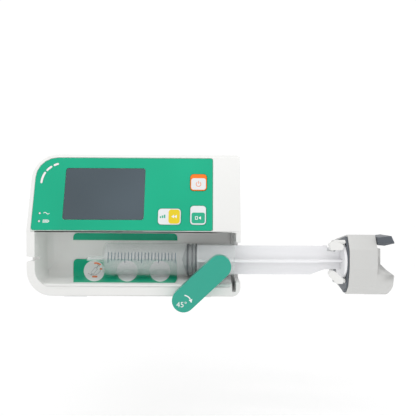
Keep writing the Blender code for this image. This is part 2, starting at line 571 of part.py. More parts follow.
def pusher_head():
    case = prism("head_case", head_outline(), SIDE, HEAD_LEFT, HEAD_RIGHT, "white_plastic")
    shoulder = box("head_shoulder", (300, HEAD_BACK_RIGHT), (-8, 24), (10, 41.6))
    join(case, shoulder, heel())
    room = rounded([(-8 + 2, 52.2, 1), (-13.8, 41, 1), (-13.8, 24, 1), (-10, 8, 1), (-3, 4, 1), (29, 8.5, 1),
                    (29, 45.2, 1)], 2)
    head_room = prism("head_room", room, SIDE, 280, HEAD_RIGHT - 2.2)
    tube_seat = rod("tube_seat", "x", (280, TUBE_Y, TUBE_Z), 20, TUBE_R + GAP)
    release_slot = box("release_slot", (300, 312), (-5.5, 8.5), (43.4, 49.2))
    cut(case, head_room, tube_seat, release_slot)
    plate_points = rounded([(-8.5, 52.8, 2), (-15.6, 40, 3), (-15.6, 25, 3), (-11.6, 8, 3), (-3.8, 1.0, 3),
                            (16, 6.2, 2), (33, 13, 3), (33, 44.8, 3)], 4)
    plate = prism("head_face", plate_points, SIDE, FACE_LEFT, FACE_RIGHT, "grey_plastic")
    cut(plate, *[rod(f"{name}_pin_hole", "x", (270, CLAW_PIN_Y, z), 20, PIN_R + GAP, sides=16)
                 for name, z in (("upper", CLAW_UP_Z), ("lower", CLAW_LOW_Z))])
    rod("force_sensor", "x", (HEAD_LEFT + GAP, 4, AXIS_Z), 6, 7, "steel")
    rod("release_pin", "y", (RELEASE_X, -6.5, RELEASE_Z), 15.5, PIN_R, "steel")
    for name, z in (("upper_claw_pin", CLAW_UP_Z), ("lower_claw_pin", CLAW_LOW_Z)):
        rod(name, "x", (CLAW_PIN_LEFT, CLAW_PIN_Y, z), HEAD_LEFT - CLAW_PIN_LEFT - 0.1, PIN_R, "steel", sides=16)


def claw(name, finger, pin_z, web):
    """A finger in front of the thumb disc, hung on a pin that passes outside the disc's rim."""
    body = prism(name, finger, FRONT, -15.2, -8.4, "white_plastic", (CLAW_PIN_LEFT, CLAW_PIN_Y, pin_z))
    boss = rod(f"{name}_boss", "x", (270.5, CLAW_PIN_Y, pin_z), 10.1, 1.9, sides=16)
    join(body, box(f"{name}_web", (271, 278.3), (-12, -7.6), web), boss)
    cut(body, rod(f"{name}_bore", "x", (265, CLAW_PIN_Y, pin_z), 20, PIN_R + GAP, sides=16))


def claws():
    upper = rounded([(266.4, 40.2, 1.6), (277.4, 41.0, 1.2), (278.2, 45.0, 1.2), (271.8, 48.6, 1.6),
                     (267.6, 48.4, 1.6), (265.6, 45.6, 1.6)], 4)
    lower = rounded([(265.0, 20.4, 1.6), (266.2, 16.8, 1.6), (272.4, 10.9, 1.4), (277.4, 10.9, 1.2),
                     (277.8, 15.0, 1.2), (270.4, 21.9, 1.6), (267.2, 22.3, 1.6)], 4)
    claw("upper_claw", upper, CLAW_UP_Z, (43.0, 46.4))
    claw("lower_claw", lower, CLAW_LOW_Z, (CLAW_LOW_Z, 15.8))


def release_lever():
    outline = [(308.3, 46.6), (309.0, 45.2), (315.0, 44.6), (323.0, 46.9), (319.9, 53.6), (308.3, 52.2)]
    lever = prism("release_lever", outline, FRONT, -15.5, 12, "grey_plastic", (RELEASE_X, 0, RELEASE_Z))
    tongue = box("release_tongue", (299, 310), (-5, 8), (45.2, 48.4))
    hub = rod("release_hub", "y", (RELEASE_X, -5, RELEASE_Z), 12, 2.2, sides=16)
    join(lever, tongue, hub)
    chamfer = prism("release_chamfer", [(-17, 47.6), (-15.4, 47.6), (-11, 44), (-17, 44)], SIDE, 305, 325)
    cut(lever, rod("release_bore", "y", (RELEASE_X, -10, RELEASE_Z), 40, PIN_R + GAP, sides=16), chamfer)


# ---------------------------------------------------------------- clamp lever

def clamp_lever():
    outline = stadium(LEVER_LOW, LEVER_HIGH, LEVER_R)
    lever = prism("clamp_lever", outline, FRONT, LEVER_FRONT, LEVER_BACK, "lever_green",
                  (PIVOT_X, LEVER_BACK, PIVOT_Z))
    rim = lever.modifiers.new("rim", "BEVEL")
    rim.width = 1.5 * MM
    rim.segments = 2
    rim.limit_method = "ANGLE"
    rim.angle_limit = math.radians(60)
    join(lever, rod("clamp_pad", "y", (166, -24, 27.5), 7.8, 5))
    cut(lever, rod("lever_bore", "y", (PIVOT_X, -33, PIVOT_Z), 12, PIVOT_R + GAP))
    rod("clamp_shaft", "y", (PIVOT_X, -32.7, PIVOT_Z), 46, PIVOT_R, "steel", (PIVOT_X, LEVER_BACK, PIVOT_Z))
    bushing = rod("clamp_bushing", "y", (PIVOT_X, PLINTH_Y - 0.4, PIVOT_Z), 9, PIVOT_R + 1.3, "dark_plastic")
    cut(bushing, rod("clamp_bushing_bore", "y", (PIVOT_X, -30, PIVOT_Z), 20, PIVOT_R + GAP))
    box("lever_stop", (133, 138.6), (-22.9, PLINTH_Y - GAP), (4.0, 8.6), "black_rubber")


# ---------------------------------------------------------------- pole clamp

def pole_clamp():
    face = JAW.x
    outline = rounded([(66, BACK_Y + GAP, 0), (ARM_RIGHT, BACK_Y + GAP, 0), (ARM_RIGHT, ARM_END, 4),
                       (ARM_LEFT, ARM_END, 3), (ARM_LEFT, 110, 4), (face, 110, 4), (face, ARM_END, 0),
                       (66, ARM_END, 6)], 4)
    bracket = prism("pole_bracket", outline, PLAN, 44, 76, "alloy")
    cut(bracket, rod("pole_screw_hole", "x", (110, JAW.y, JAW.z), 30, POLE_SCREW_R + GAP))
    pad = face + JAW_GAP
    box("pole_jaw", (pad, pad + 6), (117, 135), (47, 73), "dark_plastic", (pad, JAW.y, JAW.z))
    rod("pole_screw", "x", (pad + 6 + GAP, JAW.y, JAW.z), 43, POLE_SCREW_R, "steel", (pad + 6, JAW.y, JAW.z))
    lobes = 7
    grip = []
    for i in range(lobes * 8):
        angle = 2 * math.pi * i / (lobes * 8)
        radius = 14.2 + 1.3 * math.cos(lobes * angle)
        grip.append((JAW.y + radius * math.cos(angle), JAW.z + radius * math.sin(angle)))
    knob_left = pad + 6 + 2 * GAP + 43
    prism("pole_knob", grip, SIDE, knob_left, knob_left + 20, "black_plastic", (knob_left, JAW.y, JAW.z))


def main():
    for leftover in list(bpy.data.objects):
        bpy.data.objects.remove(leftover)
    bpy.context.scene.collection.children.link(parts)
    bpy.context.scene.collection.children.link(cutters)
    front_case()
    rear_case()
    casing_trim()
    panel()
    electronics()
    syringe()
    drive()
    pusher_head()
    claws()
    release_lever()
    clamp_lever()
    pole_clamp()


main()
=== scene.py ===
"""Infusion pump: finished surfaces, printed symbols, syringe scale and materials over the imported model."""
import json
import math

import bmesh
import bpy
from bpy.props import FloatProperty, FloatVectorProperty, IntProperty, PointerProperty
from mathutils import Matrix, Vector


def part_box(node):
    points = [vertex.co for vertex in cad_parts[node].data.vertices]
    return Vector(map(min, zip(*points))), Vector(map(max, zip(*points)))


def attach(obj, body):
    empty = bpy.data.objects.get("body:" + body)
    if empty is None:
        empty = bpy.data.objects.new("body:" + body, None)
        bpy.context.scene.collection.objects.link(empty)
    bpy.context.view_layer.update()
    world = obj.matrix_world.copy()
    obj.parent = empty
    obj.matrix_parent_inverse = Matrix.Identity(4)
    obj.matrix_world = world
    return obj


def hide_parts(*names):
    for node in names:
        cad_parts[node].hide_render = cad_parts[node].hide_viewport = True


bl_info = {
    "name": "Infusion pump finish",
    "version": (1, 0, 0),
    "blender": (4, 5, 0),
    "location": "View3D > Sidebar > Pump",
    "description": "Builds the finished surfaces of a syringe infusion pump over its packed model",
    "category": "Object",
}

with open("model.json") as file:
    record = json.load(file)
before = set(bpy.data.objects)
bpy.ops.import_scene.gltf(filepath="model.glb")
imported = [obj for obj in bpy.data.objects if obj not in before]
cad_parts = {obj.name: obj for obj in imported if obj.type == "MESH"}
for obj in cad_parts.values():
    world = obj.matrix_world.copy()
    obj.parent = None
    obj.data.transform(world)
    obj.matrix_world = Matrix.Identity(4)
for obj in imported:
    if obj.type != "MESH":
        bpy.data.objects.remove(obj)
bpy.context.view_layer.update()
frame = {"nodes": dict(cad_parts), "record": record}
NODES = frame["nodes"]
BODY_OF = {node: body for body, nodes in frame["record"]["behaviour"]["bodies"].items() for node in nodes}
SLOT_OF = {entry["node"]: entry["material_slot"] for entry in frame["record"]["subparts"]}

MM = 0.001
PRINT = 0.06                                # how far printed symbols stand proud, in mm
LEAN = math.radians(14.5)                   # the front panel leans back
NOSE_Y, NOSE_Z = -24.0, 57.5                # the panel's lower front edge, from the casing's datum
PANEL_KEYS = {                              # left, right, low, high on the panel's slope
    "power_key": (141.7, 156.3, 36.4, 51.6),
    "bolus_key": (113.9, 133.8, 5.5, 19.8),
    "start_key": (142.0, 155.8, 5.5, 22.5),
}
KEY_PROUD = 0.6
MAINS_V, BATTERY_V = 15.2, 8.1
ALARM_U, ALARM_V, ALARM_R, ALARM_WIDTH = 27.5, 43.3, 18.2, 1.9
ALARM_DASHES = ((150.0, 179.0), (126.0, 140.0), (106.0, 115.5))
TROUGH_Y, TROUGH_Z, TROUGH_R, TROUGH_START = -2.5, 33.5, 20.3, -83.0
TROUGH_FLAT = 17.0                          # the flat run in front of the trough's curve
AMBIENT, BACKDROP = 0.96, 1.05              # light from all round, and the backdrop behind the object
READER = Vector((157.5, -440.0, 77.5))      # the camera, from where the trough label is read

# The casing's datum: its left end, the syringe's axis plane and its underside.
DATUM = Vector(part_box("front_case")[0]) - Vector((0.0, NOSE_Y * MM, 0.0))
BARREL_LOW, BARREL_HIGH = (Vector(corner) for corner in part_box("syringe_barrel"))
AXIS = (BARREL_LOW + BARREL_HIGH) / 2
BARREL_R, BORE_R = 15.8, 14.5
BACK_OF_PLATE = 30.9                        # from the pole bracket's back edge to its plate


# ---------------------------------------------------------------- settings

def colour(name, text, value):
    return FloatVectorProperty(name=name, description=text, subtype="COLOR", size=3, min=0, max=1, default=value)


class PumpSizes(bpy.types.PropertyGroup):
    """Sizes a maker would change."""

    edge: FloatProperty(name="Moulded edge", description="Rounding of the casing's edges", default=0.0005,
                        subtype="DISTANCE", unit="LENGTH")
    ticks: IntProperty(name="Scale lines", description="Lines on the syringe's scale", default=21, min=2)
    tick_pitch: FloatProperty(name="Scale pitch", description="Distance between scale lines", default=0.00297,
                              subtype="DISTANCE", unit="LENGTH")
    tick_width: FloatProperty(name="Scale line width", description="Width of a scale line", default=0.0006,
                              subtype="DISTANCE", unit="LENGTH")
    thread_pitch: FloatProperty(name="Thread pitch", description="Pitch of the pole clamp's screw",
                                default=0.002, subtype="DISTANCE", unit="LENGTH")
    vent_pitch: FloatProperty(name="Vent pitch", description="Distance between the rear louvres",
                              default=0.0044, subtype="DISTANCE", unit="LENGTH")
    vents: IntProperty(name="Louvres", description="Louvres in the rear vent", default=8, min=1)


class PumpColours(bpy.types.PropertyGroup):
    """Colours a maker would change."""

    casing: colour("Casing", "White moulded casing", (0.79, 0.79, 0.775))
    # The head's colour is the casing's white made darker: painted shade for the light falling off towards the
    # head's end.
    head: colour("Head", "Moulded pusher head", (0.60, 0.60, 0.588))
    panel: colour("Panel", "Green printed film", (0.004, 0.395, 0.222))
    lever: colour("Clamp lever", "Green moulded lever", (0.008, 0.350, 0.250))
    grey: colour("Grey mouldings", "Head face and release lever", (0.088, 0.100, 0.118))
    screen: colour("Screen", "Dark display window", (0.070, 0.094, 0.112))
    orange: colour("Orange print", "Power key", (0.86, 0.19, 0.015))
    yellow: colour("Yellow print", "Fast-rate key", (0.76, 0.58, 0.0))
    key: colour("White keys", "Key caps", (0.74, 0.76, 0.77))
    ink: colour("Scale ink", "Scale lines on the syringe", (0.05, 0.11, 0.15))


# ---------------------------------------------------------------- node graphs

OBJECT_COORDINATES = 3                      # an output of Texture Coordinate
MIX_FACTOR, MIX_A, MIX_B, MIX_RESULT = 0, 6, 7, 2       # a colour Mix node's sockets


class Socket:
    """A node's output in Python arithmetic: every operator adds its Math node."""

    def __init__(self, graph, output):
        self.graph = graph
        self.output = output

    def math(self, operation, first, second=None):
        return self.graph.add("ShaderNodeMath", {"operation": operation}, first, second)

    def __add__(self, other):
        return self.math("ADD", self, other)

    def __radd__(self, other):
        return self.math("ADD", other, self)

    def __sub__(self, other):
        return self.math("SUBTRACT", self, other)

    def __rsub__(self, other):
        return self.math("SUBTRACT", other, self)

    def __mul__(self, other):
        return self.math("MULTIPLY", self, other)

    def __rmul__(self, other):
        return self.math("MULTIPLY", other, self)

    def __gt__(self, other):
        return self.math("GREATER_THAN", self, other)


class Graph:
    """Adds nodes to a tree: settings first, then the values or links of the sockets."""

    def __init__(self, tree):
        self.tree = tree

    def feed(self, socket, value):
        if isinstance(value, Socket):
            self.tree.links.new(value.output, socket)
        elif value is not None:
            if getattr(socket, "type", "") == "RGBA" and len(value) == 3:
                value = (*value, 1.0)
            socket.default_value = value

    def add(self, kind, settings=None, *values, sockets=None, output=0):
        node = self.tree.nodes.new(kind)
        for key, value in (settings or {}).items():
            if key == "stops":
                self.set_stops(node.color_ramp, value)
            else:
                setattr(node, key, value)
        for i, value in enumerate(values):
            self.feed(node.inputs[i], value)
        for key, value in (sockets or {}).items():
            self.feed(node.inputs[key], value)
        return Socket(self, node.outputs[output]) if len(node.outputs) else node

    @staticmethod
    def set_stops(ramp, stops):
        while len(ramp.elements) < len(stops):
            ramp.elements.new(0.5)
        for element, (place, grey) in zip(ramp.elements, stops):
            element.position = place
            element.color = (grey, grey, grey, 1.0)

    def noise(self, where, scale, detail=2.0, stretch=None):
        if stretch:
            where = self.add("ShaderNodeMapping", None, where, sockets={"Scale": stretch})
        return self.add("ShaderNodeTexNoise", None,
                        sockets={"Vector": where, "Scale": scale, "Detail": detail})

    def ramp(self, value, *stops):
        return self.add("ShaderNodeValToRGB", {"stops": stops}, value)

    def mix(self, factor, first, second):
        return self.add("ShaderNodeMix", {"data_type": "RGBA"},
                        sockets={MIX_FACTOR: factor, MIX_A: first, MIX_B: second}, output=MIX_RESULT)


MATERIALS = {}


def material(name, maker, *details):
    """A finish, made once and then shared."""
    if name not in MATERIALS:
        finish = bpy.data.materials.new(name)
        finish.use_nodes = True
        graph = Graph(finish.node_tree)
        shader = finish.node_tree.nodes["Principled BSDF"]
        where = graph.add("ShaderNodeTexCoord", None, output=OBJECT_COORDINATES)
        maker(graph, shader, where, *details)
        MATERIALS[name] = finish
    return MATERIALS[name]


def shades(base, darker=0.93, lighter=1.04):
    return tuple(c * darker for c in base), tuple(min(1.0, c * lighter) for c in base)


def bump(graph, shader, height, depth):
    relief = graph.add("ShaderNodeBump", None, sockets={"Height": height, "Distance": depth, "Strength": 1.0})
    graph.feed(shader.inputs["Normal"], relief)


def moulded(graph, shader, where, base, roughness=0.4, grain=0.5, depth=0.00002, coat=0.0):
    """Moulded plastic: spark-eroded grain, slow drift in tone, and faint handling marks in the gloss."""
    dark, light = shades(base, 0.965, 1.02)
    drift = graph.noise(where, 9.0, 3.0)
    texture = graph.noise(where, 1.0 / (grain * MM), 2.0)
    handling = graph.ramp(graph.noise(where, 60.0, 4.0), (0.52, 0.0), (0.72, 1.0))
    tone = graph.ramp(drift, (0.35, 0.0), (0.65, 1.0))
    graph.feed(shader.inputs["Base Color"], graph.mix(tone, dark, light))
    graph.feed(shader.inputs["Roughness"], roughness + handling * 0.05 + (texture - 0.5) * 0.10)
    shader.inputs["Coat Weight"].default_value = coat
    shader.inputs["Coat Roughness"].default_value = 0.18
    bump(graph, shader, texture, depth)


def printed_film(graph, shader, where, base, roughness=0.34):
    """Printed polyester film: a fine hard coat over an even ink, with a slight wave."""
    dark, light = shades(base, 0.94, 1.05)
    wave = graph.noise(where, 14.0, 2.0)
    velvet = graph.noise(where, 4200.0, 1.0)
    tone = graph.ramp(wave, (0.3, 0.0), (0.7, 1.0))
    graph.feed(shader.inputs["Base Color"], graph.mix(tone, dark, light))
    graph.feed(shader.inputs["Roughness"], roughness + (velvet - 0.5) * 0.12)
    shader.inputs["Specular IOR Level"].default_value = 0.25
    bump(graph, shader, velvet * 0.6 + wave * 3.0, 0.00001)


def display(graph, shader, where, base):
    """A dark display behind a bonded window: a soft bloom of tone and a faint dot matrix."""
    cloud = graph.ramp(graph.noise(where, 12.0, 1.0), (0.3, 0.0), (0.7, 1.0))
    matrix = graph.add("ShaderNodeTexWave", {"bands_direction": "X"}, where, sockets={"Scale": 900.0})
    lit = graph.mix(cloud, tuple(c * 0.86 for c in base), tuple(c * 1.12 for c in base))
    graph.feed(shader.inputs["Base Color"], graph.mix(matrix * 0.05, lit, tuple(c * 0.7 for c in base)))
    graph.feed(shader.inputs["Roughness"], 0.16 + cloud * 0.04)
    shader.inputs["Specular IOR Level"].default_value = 0.3


def clear_polymer(graph, shader, where, tint):
    """Clear thin-walled polypropylene: a glossy skin, and a milky haze on the bore that drifts along it."""
    flow = graph.noise(where, 60.0, 3.0, stretch=(0.15, 1.0, 1.0))
    centre = graph.add("ShaderNodeVectorMath", {"operation": "SUBTRACT"}, where, tuple(AXIS))
    across = graph.add("ShaderNodeVectorMath", {"operation": "MULTIPLY"}, centre, (0.0, 1.0, 1.0))
    radius = graph.add("ShaderNodeVectorMath", {"operation": "LENGTH"}, across, output=1)
    skin = radius > 15.0 * MM
    haze = 0.20 + flow * 0.10
    graph.feed(shader.inputs["Base Color"], graph.mix(flow, tuple(c * 0.985 for c in tint), tint))
    graph.feed(shader.inputs["Roughness"], 0.05 + flow * 0.06)
    graph.feed(shader.inputs["Alpha"], haze - skin * (haze - 0.08))
    shader.inputs["Specular IOR Level"].default_value = 1.0
    shader.inputs["Coat Weight"].default_value = 1.0
    shader.inputs["Coat Roughness"].default_value = 0.04
    bump(graph, shader, flow, 0.00001)


def milky_plastic(graph, shader, where, base):
    """Frosted plunger plastic: light scatters under a satin skin."""
    flow = graph.noise(where, 90.0, 3.0, stretch=(0.2, 1.0, 1.0))
    graph.feed(shader.inputs["Base Color"], graph.mix(flow, tuple(c * 0.95 for c in base), base))
    graph.feed(shader.inputs["Roughness"], 0.28 + flow * 0.14)
    shader.inputs["Subsurface Weight"].default_value = 0.35
    shader.inputs["Subsurface Radius"].default_value = (0.004, 0.004, 0.004)
    shader.inputs["Subsurface Scale"].default_value = 1.0
    bump(graph, shader, flow, 0.00003)


def rubber(graph, shader, where, base, roughness=0.62):
    """Moulded rubber: matt with a dusty bloom and a fine pebble."""
    bloom = graph.ramp(graph.noise(where, 70.0, 4.0), (0.45, 0.0), (0.75, 1.0))
    pebble = graph.add("ShaderNodeTexVoronoi", None, sockets={"Vector": where, "Scale": 2600.0})
    dusty = tuple(min(1, c * 1.35 + 0.01) for c in base)
    graph.feed(shader.inputs["Base Color"], graph.mix(bloom, base, dusty))
    graph.feed(shader.inputs["Roughness"], roughness + bloom * 0.12)
    bump(graph, shader, pebble, 0.00003)


def machined_metal(graph, shader, where, base, roughness=0.26, lay=(0.02, 1.0, 1.0)):
    """Ground or drawn metal: fine lines along one axis and a few smudges."""
    lines = graph.noise(where, 5200.0, 2.0, stretch=lay)
    smudge = graph.ramp(graph.noise(where, 45.0, 4.0), (0.5, 0.0), (0.7, 1.0))
    dark, light = shades(base, 0.88, 1.06)
    graph.feed(shader.inputs["Base Color"], graph.mix(lines, dark, light))
    graph.feed(shader.inputs["Roughness"], roughness + lines * 0.12 + smudge * 0.10)
    shader.inputs["Metallic"].default_value = 1.0
    bump(graph, shader, lines, 0.00001)


def cast_alloy(graph, shader, where, base):
    """Powder-coated casting: an orange-peel skin with a soft sparkle."""
    peel = graph.noise(where, 1100.0, 2.0)
    patches = graph.noise(where, 30.0, 3.0)
    dark, light = shades(base, 0.9, 1.06)
    graph.feed(shader.inputs["Base Color"], graph.mix(patches, dark, light))
    graph.feed(shader.inputs["Roughness"], 0.36 + peel * 0.16)
    shader.inputs["Metallic"].default_value = 0.6
    bump(graph, shader, peel, 0.00006)


def circuit(graph, shader, where, base):
    """Solder mask over tracks."""
    tracks = graph.add("ShaderNodeTexBrick", None, where, output=1,
                       sockets={"Scale": 260.0, "Mortar Size": 0.012})
    copper = tuple(min(1, c * 2.2 + 0.02) for c in base)
    graph.feed(shader.inputs["Base Color"], graph.mix(tracks, base, copper))
    graph.feed(shader.inputs["Roughness"], 0.34 + tracks * 0.2)
    bump(graph, shader, tracks, 0.00003)


def ink(graph, shader, where, base):
    """Screen-printed ink with a slightly uneven film."""
    film = graph.noise(where, 900.0, 2.0)
    graph.feed(shader.inputs["Base Color"], graph.mix(film, tuple(c * 0.95 for c in base), base))
    graph.feed(shader.inputs["Roughness"], 0.36 + film * 0.12)


def ink_for(name):
    """The printed symbols' inks."""
    colours = bpy.context.scene.pump_colours
    inks = {
        "alarm_ink": (0.86, 0.80, 0.81),
        "white_ink": (0.84, 0.84, 0.84),
        "key_ink": tuple(colours.key),
        "orange_ink": tuple(colours.orange),
        "yellow_ink": tuple(colours.yellow),
        "green_ink": tuple(colours.panel),
        "pictogram_white": (0.80, 0.81, 0.81),
        "pictogram_grey": (0.32, 0.34, 0.35),
        "scale_ink": tuple(colours.ink),
    }
    return material(name, ink, inks[name])


def finish_for(slot):
    """The material for one of the record's slots."""
    colours = bpy.context.scene.pump_colours
    makers = {
        "white_plastic": (moulded, tuple(colours.casing), 0.34, 0.6, 0.000012, 0.12),
        "grey_plastic": (moulded, tuple(colours.grey), 0.42, 0.5),
        "dark_plastic": (moulded, (0.075, 0.083, 0.09), 0.42, 0.5),
        "black_plastic": (moulded, (0.022, 0.022, 0.025), 0.46, 0.6, 0.00004),
        "panel_green": (printed_film, tuple(colours.panel)),
        "lever_green": (moulded, tuple(colours.lever), 0.30, 0.5, 0.000015, 0.25),
        "key_white": (printed_film, tuple(colours.key)),
        "key_orange": (printed_film, tuple(colours.orange)),
        "screen_glass": (display, tuple(colours.screen)),
        "light_guide": (moulded, (0.86, 0.84, 0.84), 0.30, 0.5),
        "clear_plastic": (clear_polymer, (0.94, 0.975, 0.975)),
        "rod_plastic": (milky_plastic, (0.84, 0.84, 0.86)),
        "black_rubber": (rubber, (0.028, 0.034, 0.042)),
        "foot_rubber": (rubber, (0.46, 0.47, 0.47)),
        "circuit_board": (circuit, (0.012, 0.11, 0.04)),
        "steel": (machined_metal, (0.58, 0.59, 0.60)),
        "zinc_sheet": (machined_metal, (0.60, 0.61, 0.60), 0.34, (1.0, 0.03, 1.0)),
        "alloy": (cast_alloy, (0.62, 0.63, 0.64)),
        "battery_wrap": (moulded, (0.02, 0.06, 0.26), 0.38, 0.8),
    }
    return material(slot, *makers[slot])


# ---------------------------------------------------------------- geometry

def axes(u, v, w, origin=(0.0, 0.0, 0.0)):
    """A drawing plane in the casing's datum, in millimetres: u and v across it, w out of it."""
    rotation = Matrix((u, v, w)).transposed().to_4x4()
    return Matrix.Translation(DATUM) @ Matrix.Scale(MM, 4) @ Matrix.Translation(Vector(origin)) @ rotation


X, Y, Z = Vector((1, 0, 0)), Vector((0, 1, 0)), Vector((0, 0, 1))
SLOPE = Vector((0.0, math.sin(LEAN), math.cos(LEAN)))
FRONT = axes(X, Z, -Y)                      # w runs towards the front
PANEL = axes(X, SLOPE, X.cross(SLOPE), (0.0, NOSE_Y, NOSE_Z))


def arc(cu, cv, radius, start, end, steps=12):
    angles = [math.radians(start + (end - start) * i / steps) for i in range(steps + 1)]
    return [(cu + radius * math.cos(a), cv + radius * math.sin(a)) for a in angles]


def disc(cu, cv, radius, steps=40):
    return arc(cu, cv, radius, 0, 360, steps)[:-1]


def rounded_rect(left, right, low, high, radius):
    corners = (right, low, -90), (right, high, 0), (left, high, 90), (left, low, 180)
    points = []
    for u, v, start in corners:
        cu = u - radius if u == right else u + radius
        cv = v - radius if v == high else v + radius
        points += arc(cu, cv, radius, start, start + 90, 6)
    return points


def stroke(points, width):
    """A line's outline: its points offset to both sides."""
    sides = [], []
    for i, (u, v) in enumerate(points):
        before, after = points[max(i - 1, 0)], points[min(i + 1, len(points) - 1)]
        along = Vector((after[0] - before[0], after[1] - before[1])).normalized()
        for side, sign in zip(sides, (1, -1)):
            side.append((u - sign * along.y * width / 2, v + sign * along.x * width / 2))
    return sides[0] + sides[1][::-1]


def moved(points, cu, cv, degrees=0.0):
    c, s = math.cos(math.radians(degrees)), math.sin(math.radians(degrees))
    return [(cu + u * c - v * s, cv + u * s + v * c) for u, v in points]


def new_object(name, mesh):
    piece = bpy.data.objects.new(name, mesh)
    bpy.context.scene.collection.objects.link(piece)
    return piece


def into_mesh(bm, name):
    """A bmesh's contents as a new mesh."""
    mesh = bpy.data.meshes.new(name)
    bm.to_mesh(mesh)
    bm.free()
    return mesh


def as_plain_mesh(source, name):
    """The evaluated object as one plain mesh object at the origin, its place in its mesh."""
    bpy.context.view_layer.update()
    depsgraph = bpy.context.evaluated_depsgraph_get()
    mesh = bpy.data.meshes.new_from_object(source.evaluated_get(depsgraph))
    mesh.transform(source.matrix_world)
    bpy.data.objects.remove(source)
    mesh.name = name
    return new_object(name, mesh)


def tidy(mesh, merge=0.0000005):
    bm = bmesh.new()
    bm.from_mesh(mesh)
    bmesh.ops.remove_doubles(bm, verts=bm.verts, dist=merge)
    bmesh.ops.recalc_face_normals(bm, faces=bm.faces)
    bm.to_mesh(mesh)
    bm.free()


def plate(name, outlines, plane, low, high):
    """Filled outlines in millimetres on a plane, as a solid between two heights over it."""
    curve = bpy.data.curves.new(name, "CURVE")
    curve.dimensions = "2D"
    curve.fill_mode = "BOTH"
    curve.extrude = (high - low) / 2
    for points in outlines:
        spline = curve.splines.new("POLY")
        spline.points.add(len(points) - 1)
        for control, (u, v) in zip(spline.points, points):
            control.co = (u, v, 0.0, 1.0)
        spline.use_cyclic_u = True
    piece = as_plain_mesh(new_object(name, curve), name)
    piece.data.transform(plane @ Matrix.Translation((0.0, 0.0, (low + high) / 2)))
    tidy(piece.data)
    return piece


def place(piece, body, slot, finish=None, smooth=None):
    """Gives a piece its body and its material: the finish given, or else its slot's finish."""
    if smooth:
        piece.data.shade_smooth()
        piece.data.set_sharp_from_angle(angle=math.radians(smooth))
    piece.data.materials.clear()
    piece.data.materials.append(finish or finish_for(slot))
    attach(piece, body)
    return piece


def merged_copy(node):
    """A CAD node's mesh with its loose triangles joined and its flat faces merged."""
    mesh = NODES[node].data.copy()
    bm = bmesh.new()
    bm.from_mesh(mesh)
    bmesh.ops.remove_doubles(bm, verts=bm.verts, dist=0.000002)
    bmesh.ops.dissolve_limit(bm, angle_limit=math.radians(0.6), verts=bm.verts, edges=bm.edges)
    bm.to_mesh(mesh)
    bm.free()
    return mesh


def stays_inside(piece, node, slack=0.00005):
    """Whether every vertex lies in the CAD piece's box: a rounding too wide for its edge throws spikes."""
    low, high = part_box(node)
    return all(low[i] - slack <= vert.co[i] <= high[i] + slack
               for vert in piece.data.vertices for i in range(3))


def refined(node, edge, segments=2, angle=28.0, smooth=32.0, finish=None):
    """A CAD node with its edges rounded, as far as they stay in its box, and its curves shaded smooth."""
    name = f"{node}_moulding"
    for width in (edge, edge * 0.6, edge * 0.3, 0.0):
        piece = new_object(name, merged_copy(node))
        if width:
            rounding = piece.modifiers.new("edge", "BEVEL")
            rounding.width = width
            rounding.segments = segments
            rounding.limit_method = "ANGLE"
            rounding.angle_limit = math.radians(angle)
            rounding.use_clamp_overlap = False
            rounding.miter_outer = "MITER_ARC"
        piece = as_plain_mesh(piece, name)
        if not width or stays_inside(piece, node):
            break
        bpy.data.objects.remove(piece)
    place(piece, BODY_OF[node], SLOT_OF[node], finish, smooth)
    even = piece.modifiers.new("even_normals", "WEIGHTED_NORMAL")
    even.keep_sharp = True
    even.weight = 80
    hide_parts(node)
    return piece


def printed(name, outlines, plane, height, body, finish, slot):
    """A printed symbol lying on a surface."""
    piece = plate(name, outlines, plane, height, height + PRINT)
    return place(piece, body, slot, finish)


def joined(name, pieces):
    """Several meshes as one object."""
    bm = bmesh.new()
    for piece in pieces:
        bm.from_mesh(piece.data)
        bpy.data.objects.remove(piece)
    return new_object(name, into_mesh(bm, name))


def lathe(name, profile, steps=96):
    """A closed (x, radius) profile in metres spun round the syringe's axis."""
    bm = bmesh.new()
    verts = [bm.verts.new((x, 0.0, radius)) for x, radius in profile]
    loop = [bm.edges.new((a, b)) for a, b in zip(verts, verts[1:] + verts[:1])]
    bmesh.ops.spin(bm, geom=verts + loop, cent=(0, 0, 0), axis=(1, 0, 0), angle=2 * math.pi, steps=steps,
                   use_merge=True)
    bmesh.ops.remove_doubles(bm, verts=bm.verts, dist=0.000001)
    bmesh.ops.recalc_face_normals(bm, faces=bm.faces)
    mesh = into_mesh(bm, name)
    mesh.transform(Matrix.Translation((0.0, AXIS.y, AXIS.z)))
    return new_object(name, mesh)


# ---------------------------------------------------------------- geometry nodes

class GeometryGraph(Graph):
    """A Geometry Nodes tree with named inputs."""

    def __init__(self, name, inputs):
        tree = bpy.data.node_groups.new(name, "GeometryNodeTree")
        super().__init__(tree)
        tree.interface.new_socket("Geometry", in_out="INPUT", socket_type="NodeSocketGeometry")
        for label, (kind, _value) in inputs.items():
            tree.interface.new_socket(label, in_out="INPUT", socket_type=kind)
        tree.interface.new_socket("Geometry", in_out="OUTPUT", socket_type="NodeSocketGeometry")
        self.values = inputs
        self.entry = tree.nodes.new("NodeGroupInput")

    def given(self, label):
        return Socket(self, self.entry.outputs[label])

    def finish(self, instances, finish):
        """Realizes the instances, sets their material, and ends the tree."""
        real = self.add("GeometryNodeRealizeInstances", None, instances)
        painted = self.add("GeometryNodeSetMaterial", None, real, sockets={"Material": finish})
        self.tree.links.new(painted.output, self.tree.nodes.new("NodeGroupOutput").inputs[0])

    def build(self, name, mesh=None):
        """Runs the tree on a mesh, or on an empty one, and returns the plain result."""
        holder = new_object(name, mesh or bpy.data.meshes.new(name))
        modifier = holder.modifiers.new(name, "NODES")
        modifier.node_group = self.tree
        for item in self.tree.interface.items_tree:
            if item.in_out == "INPUT" and item.name in self.values:
                modifier[item.identifier] = self.values[item.name][1]
        return as_plain_mesh(holder, name)


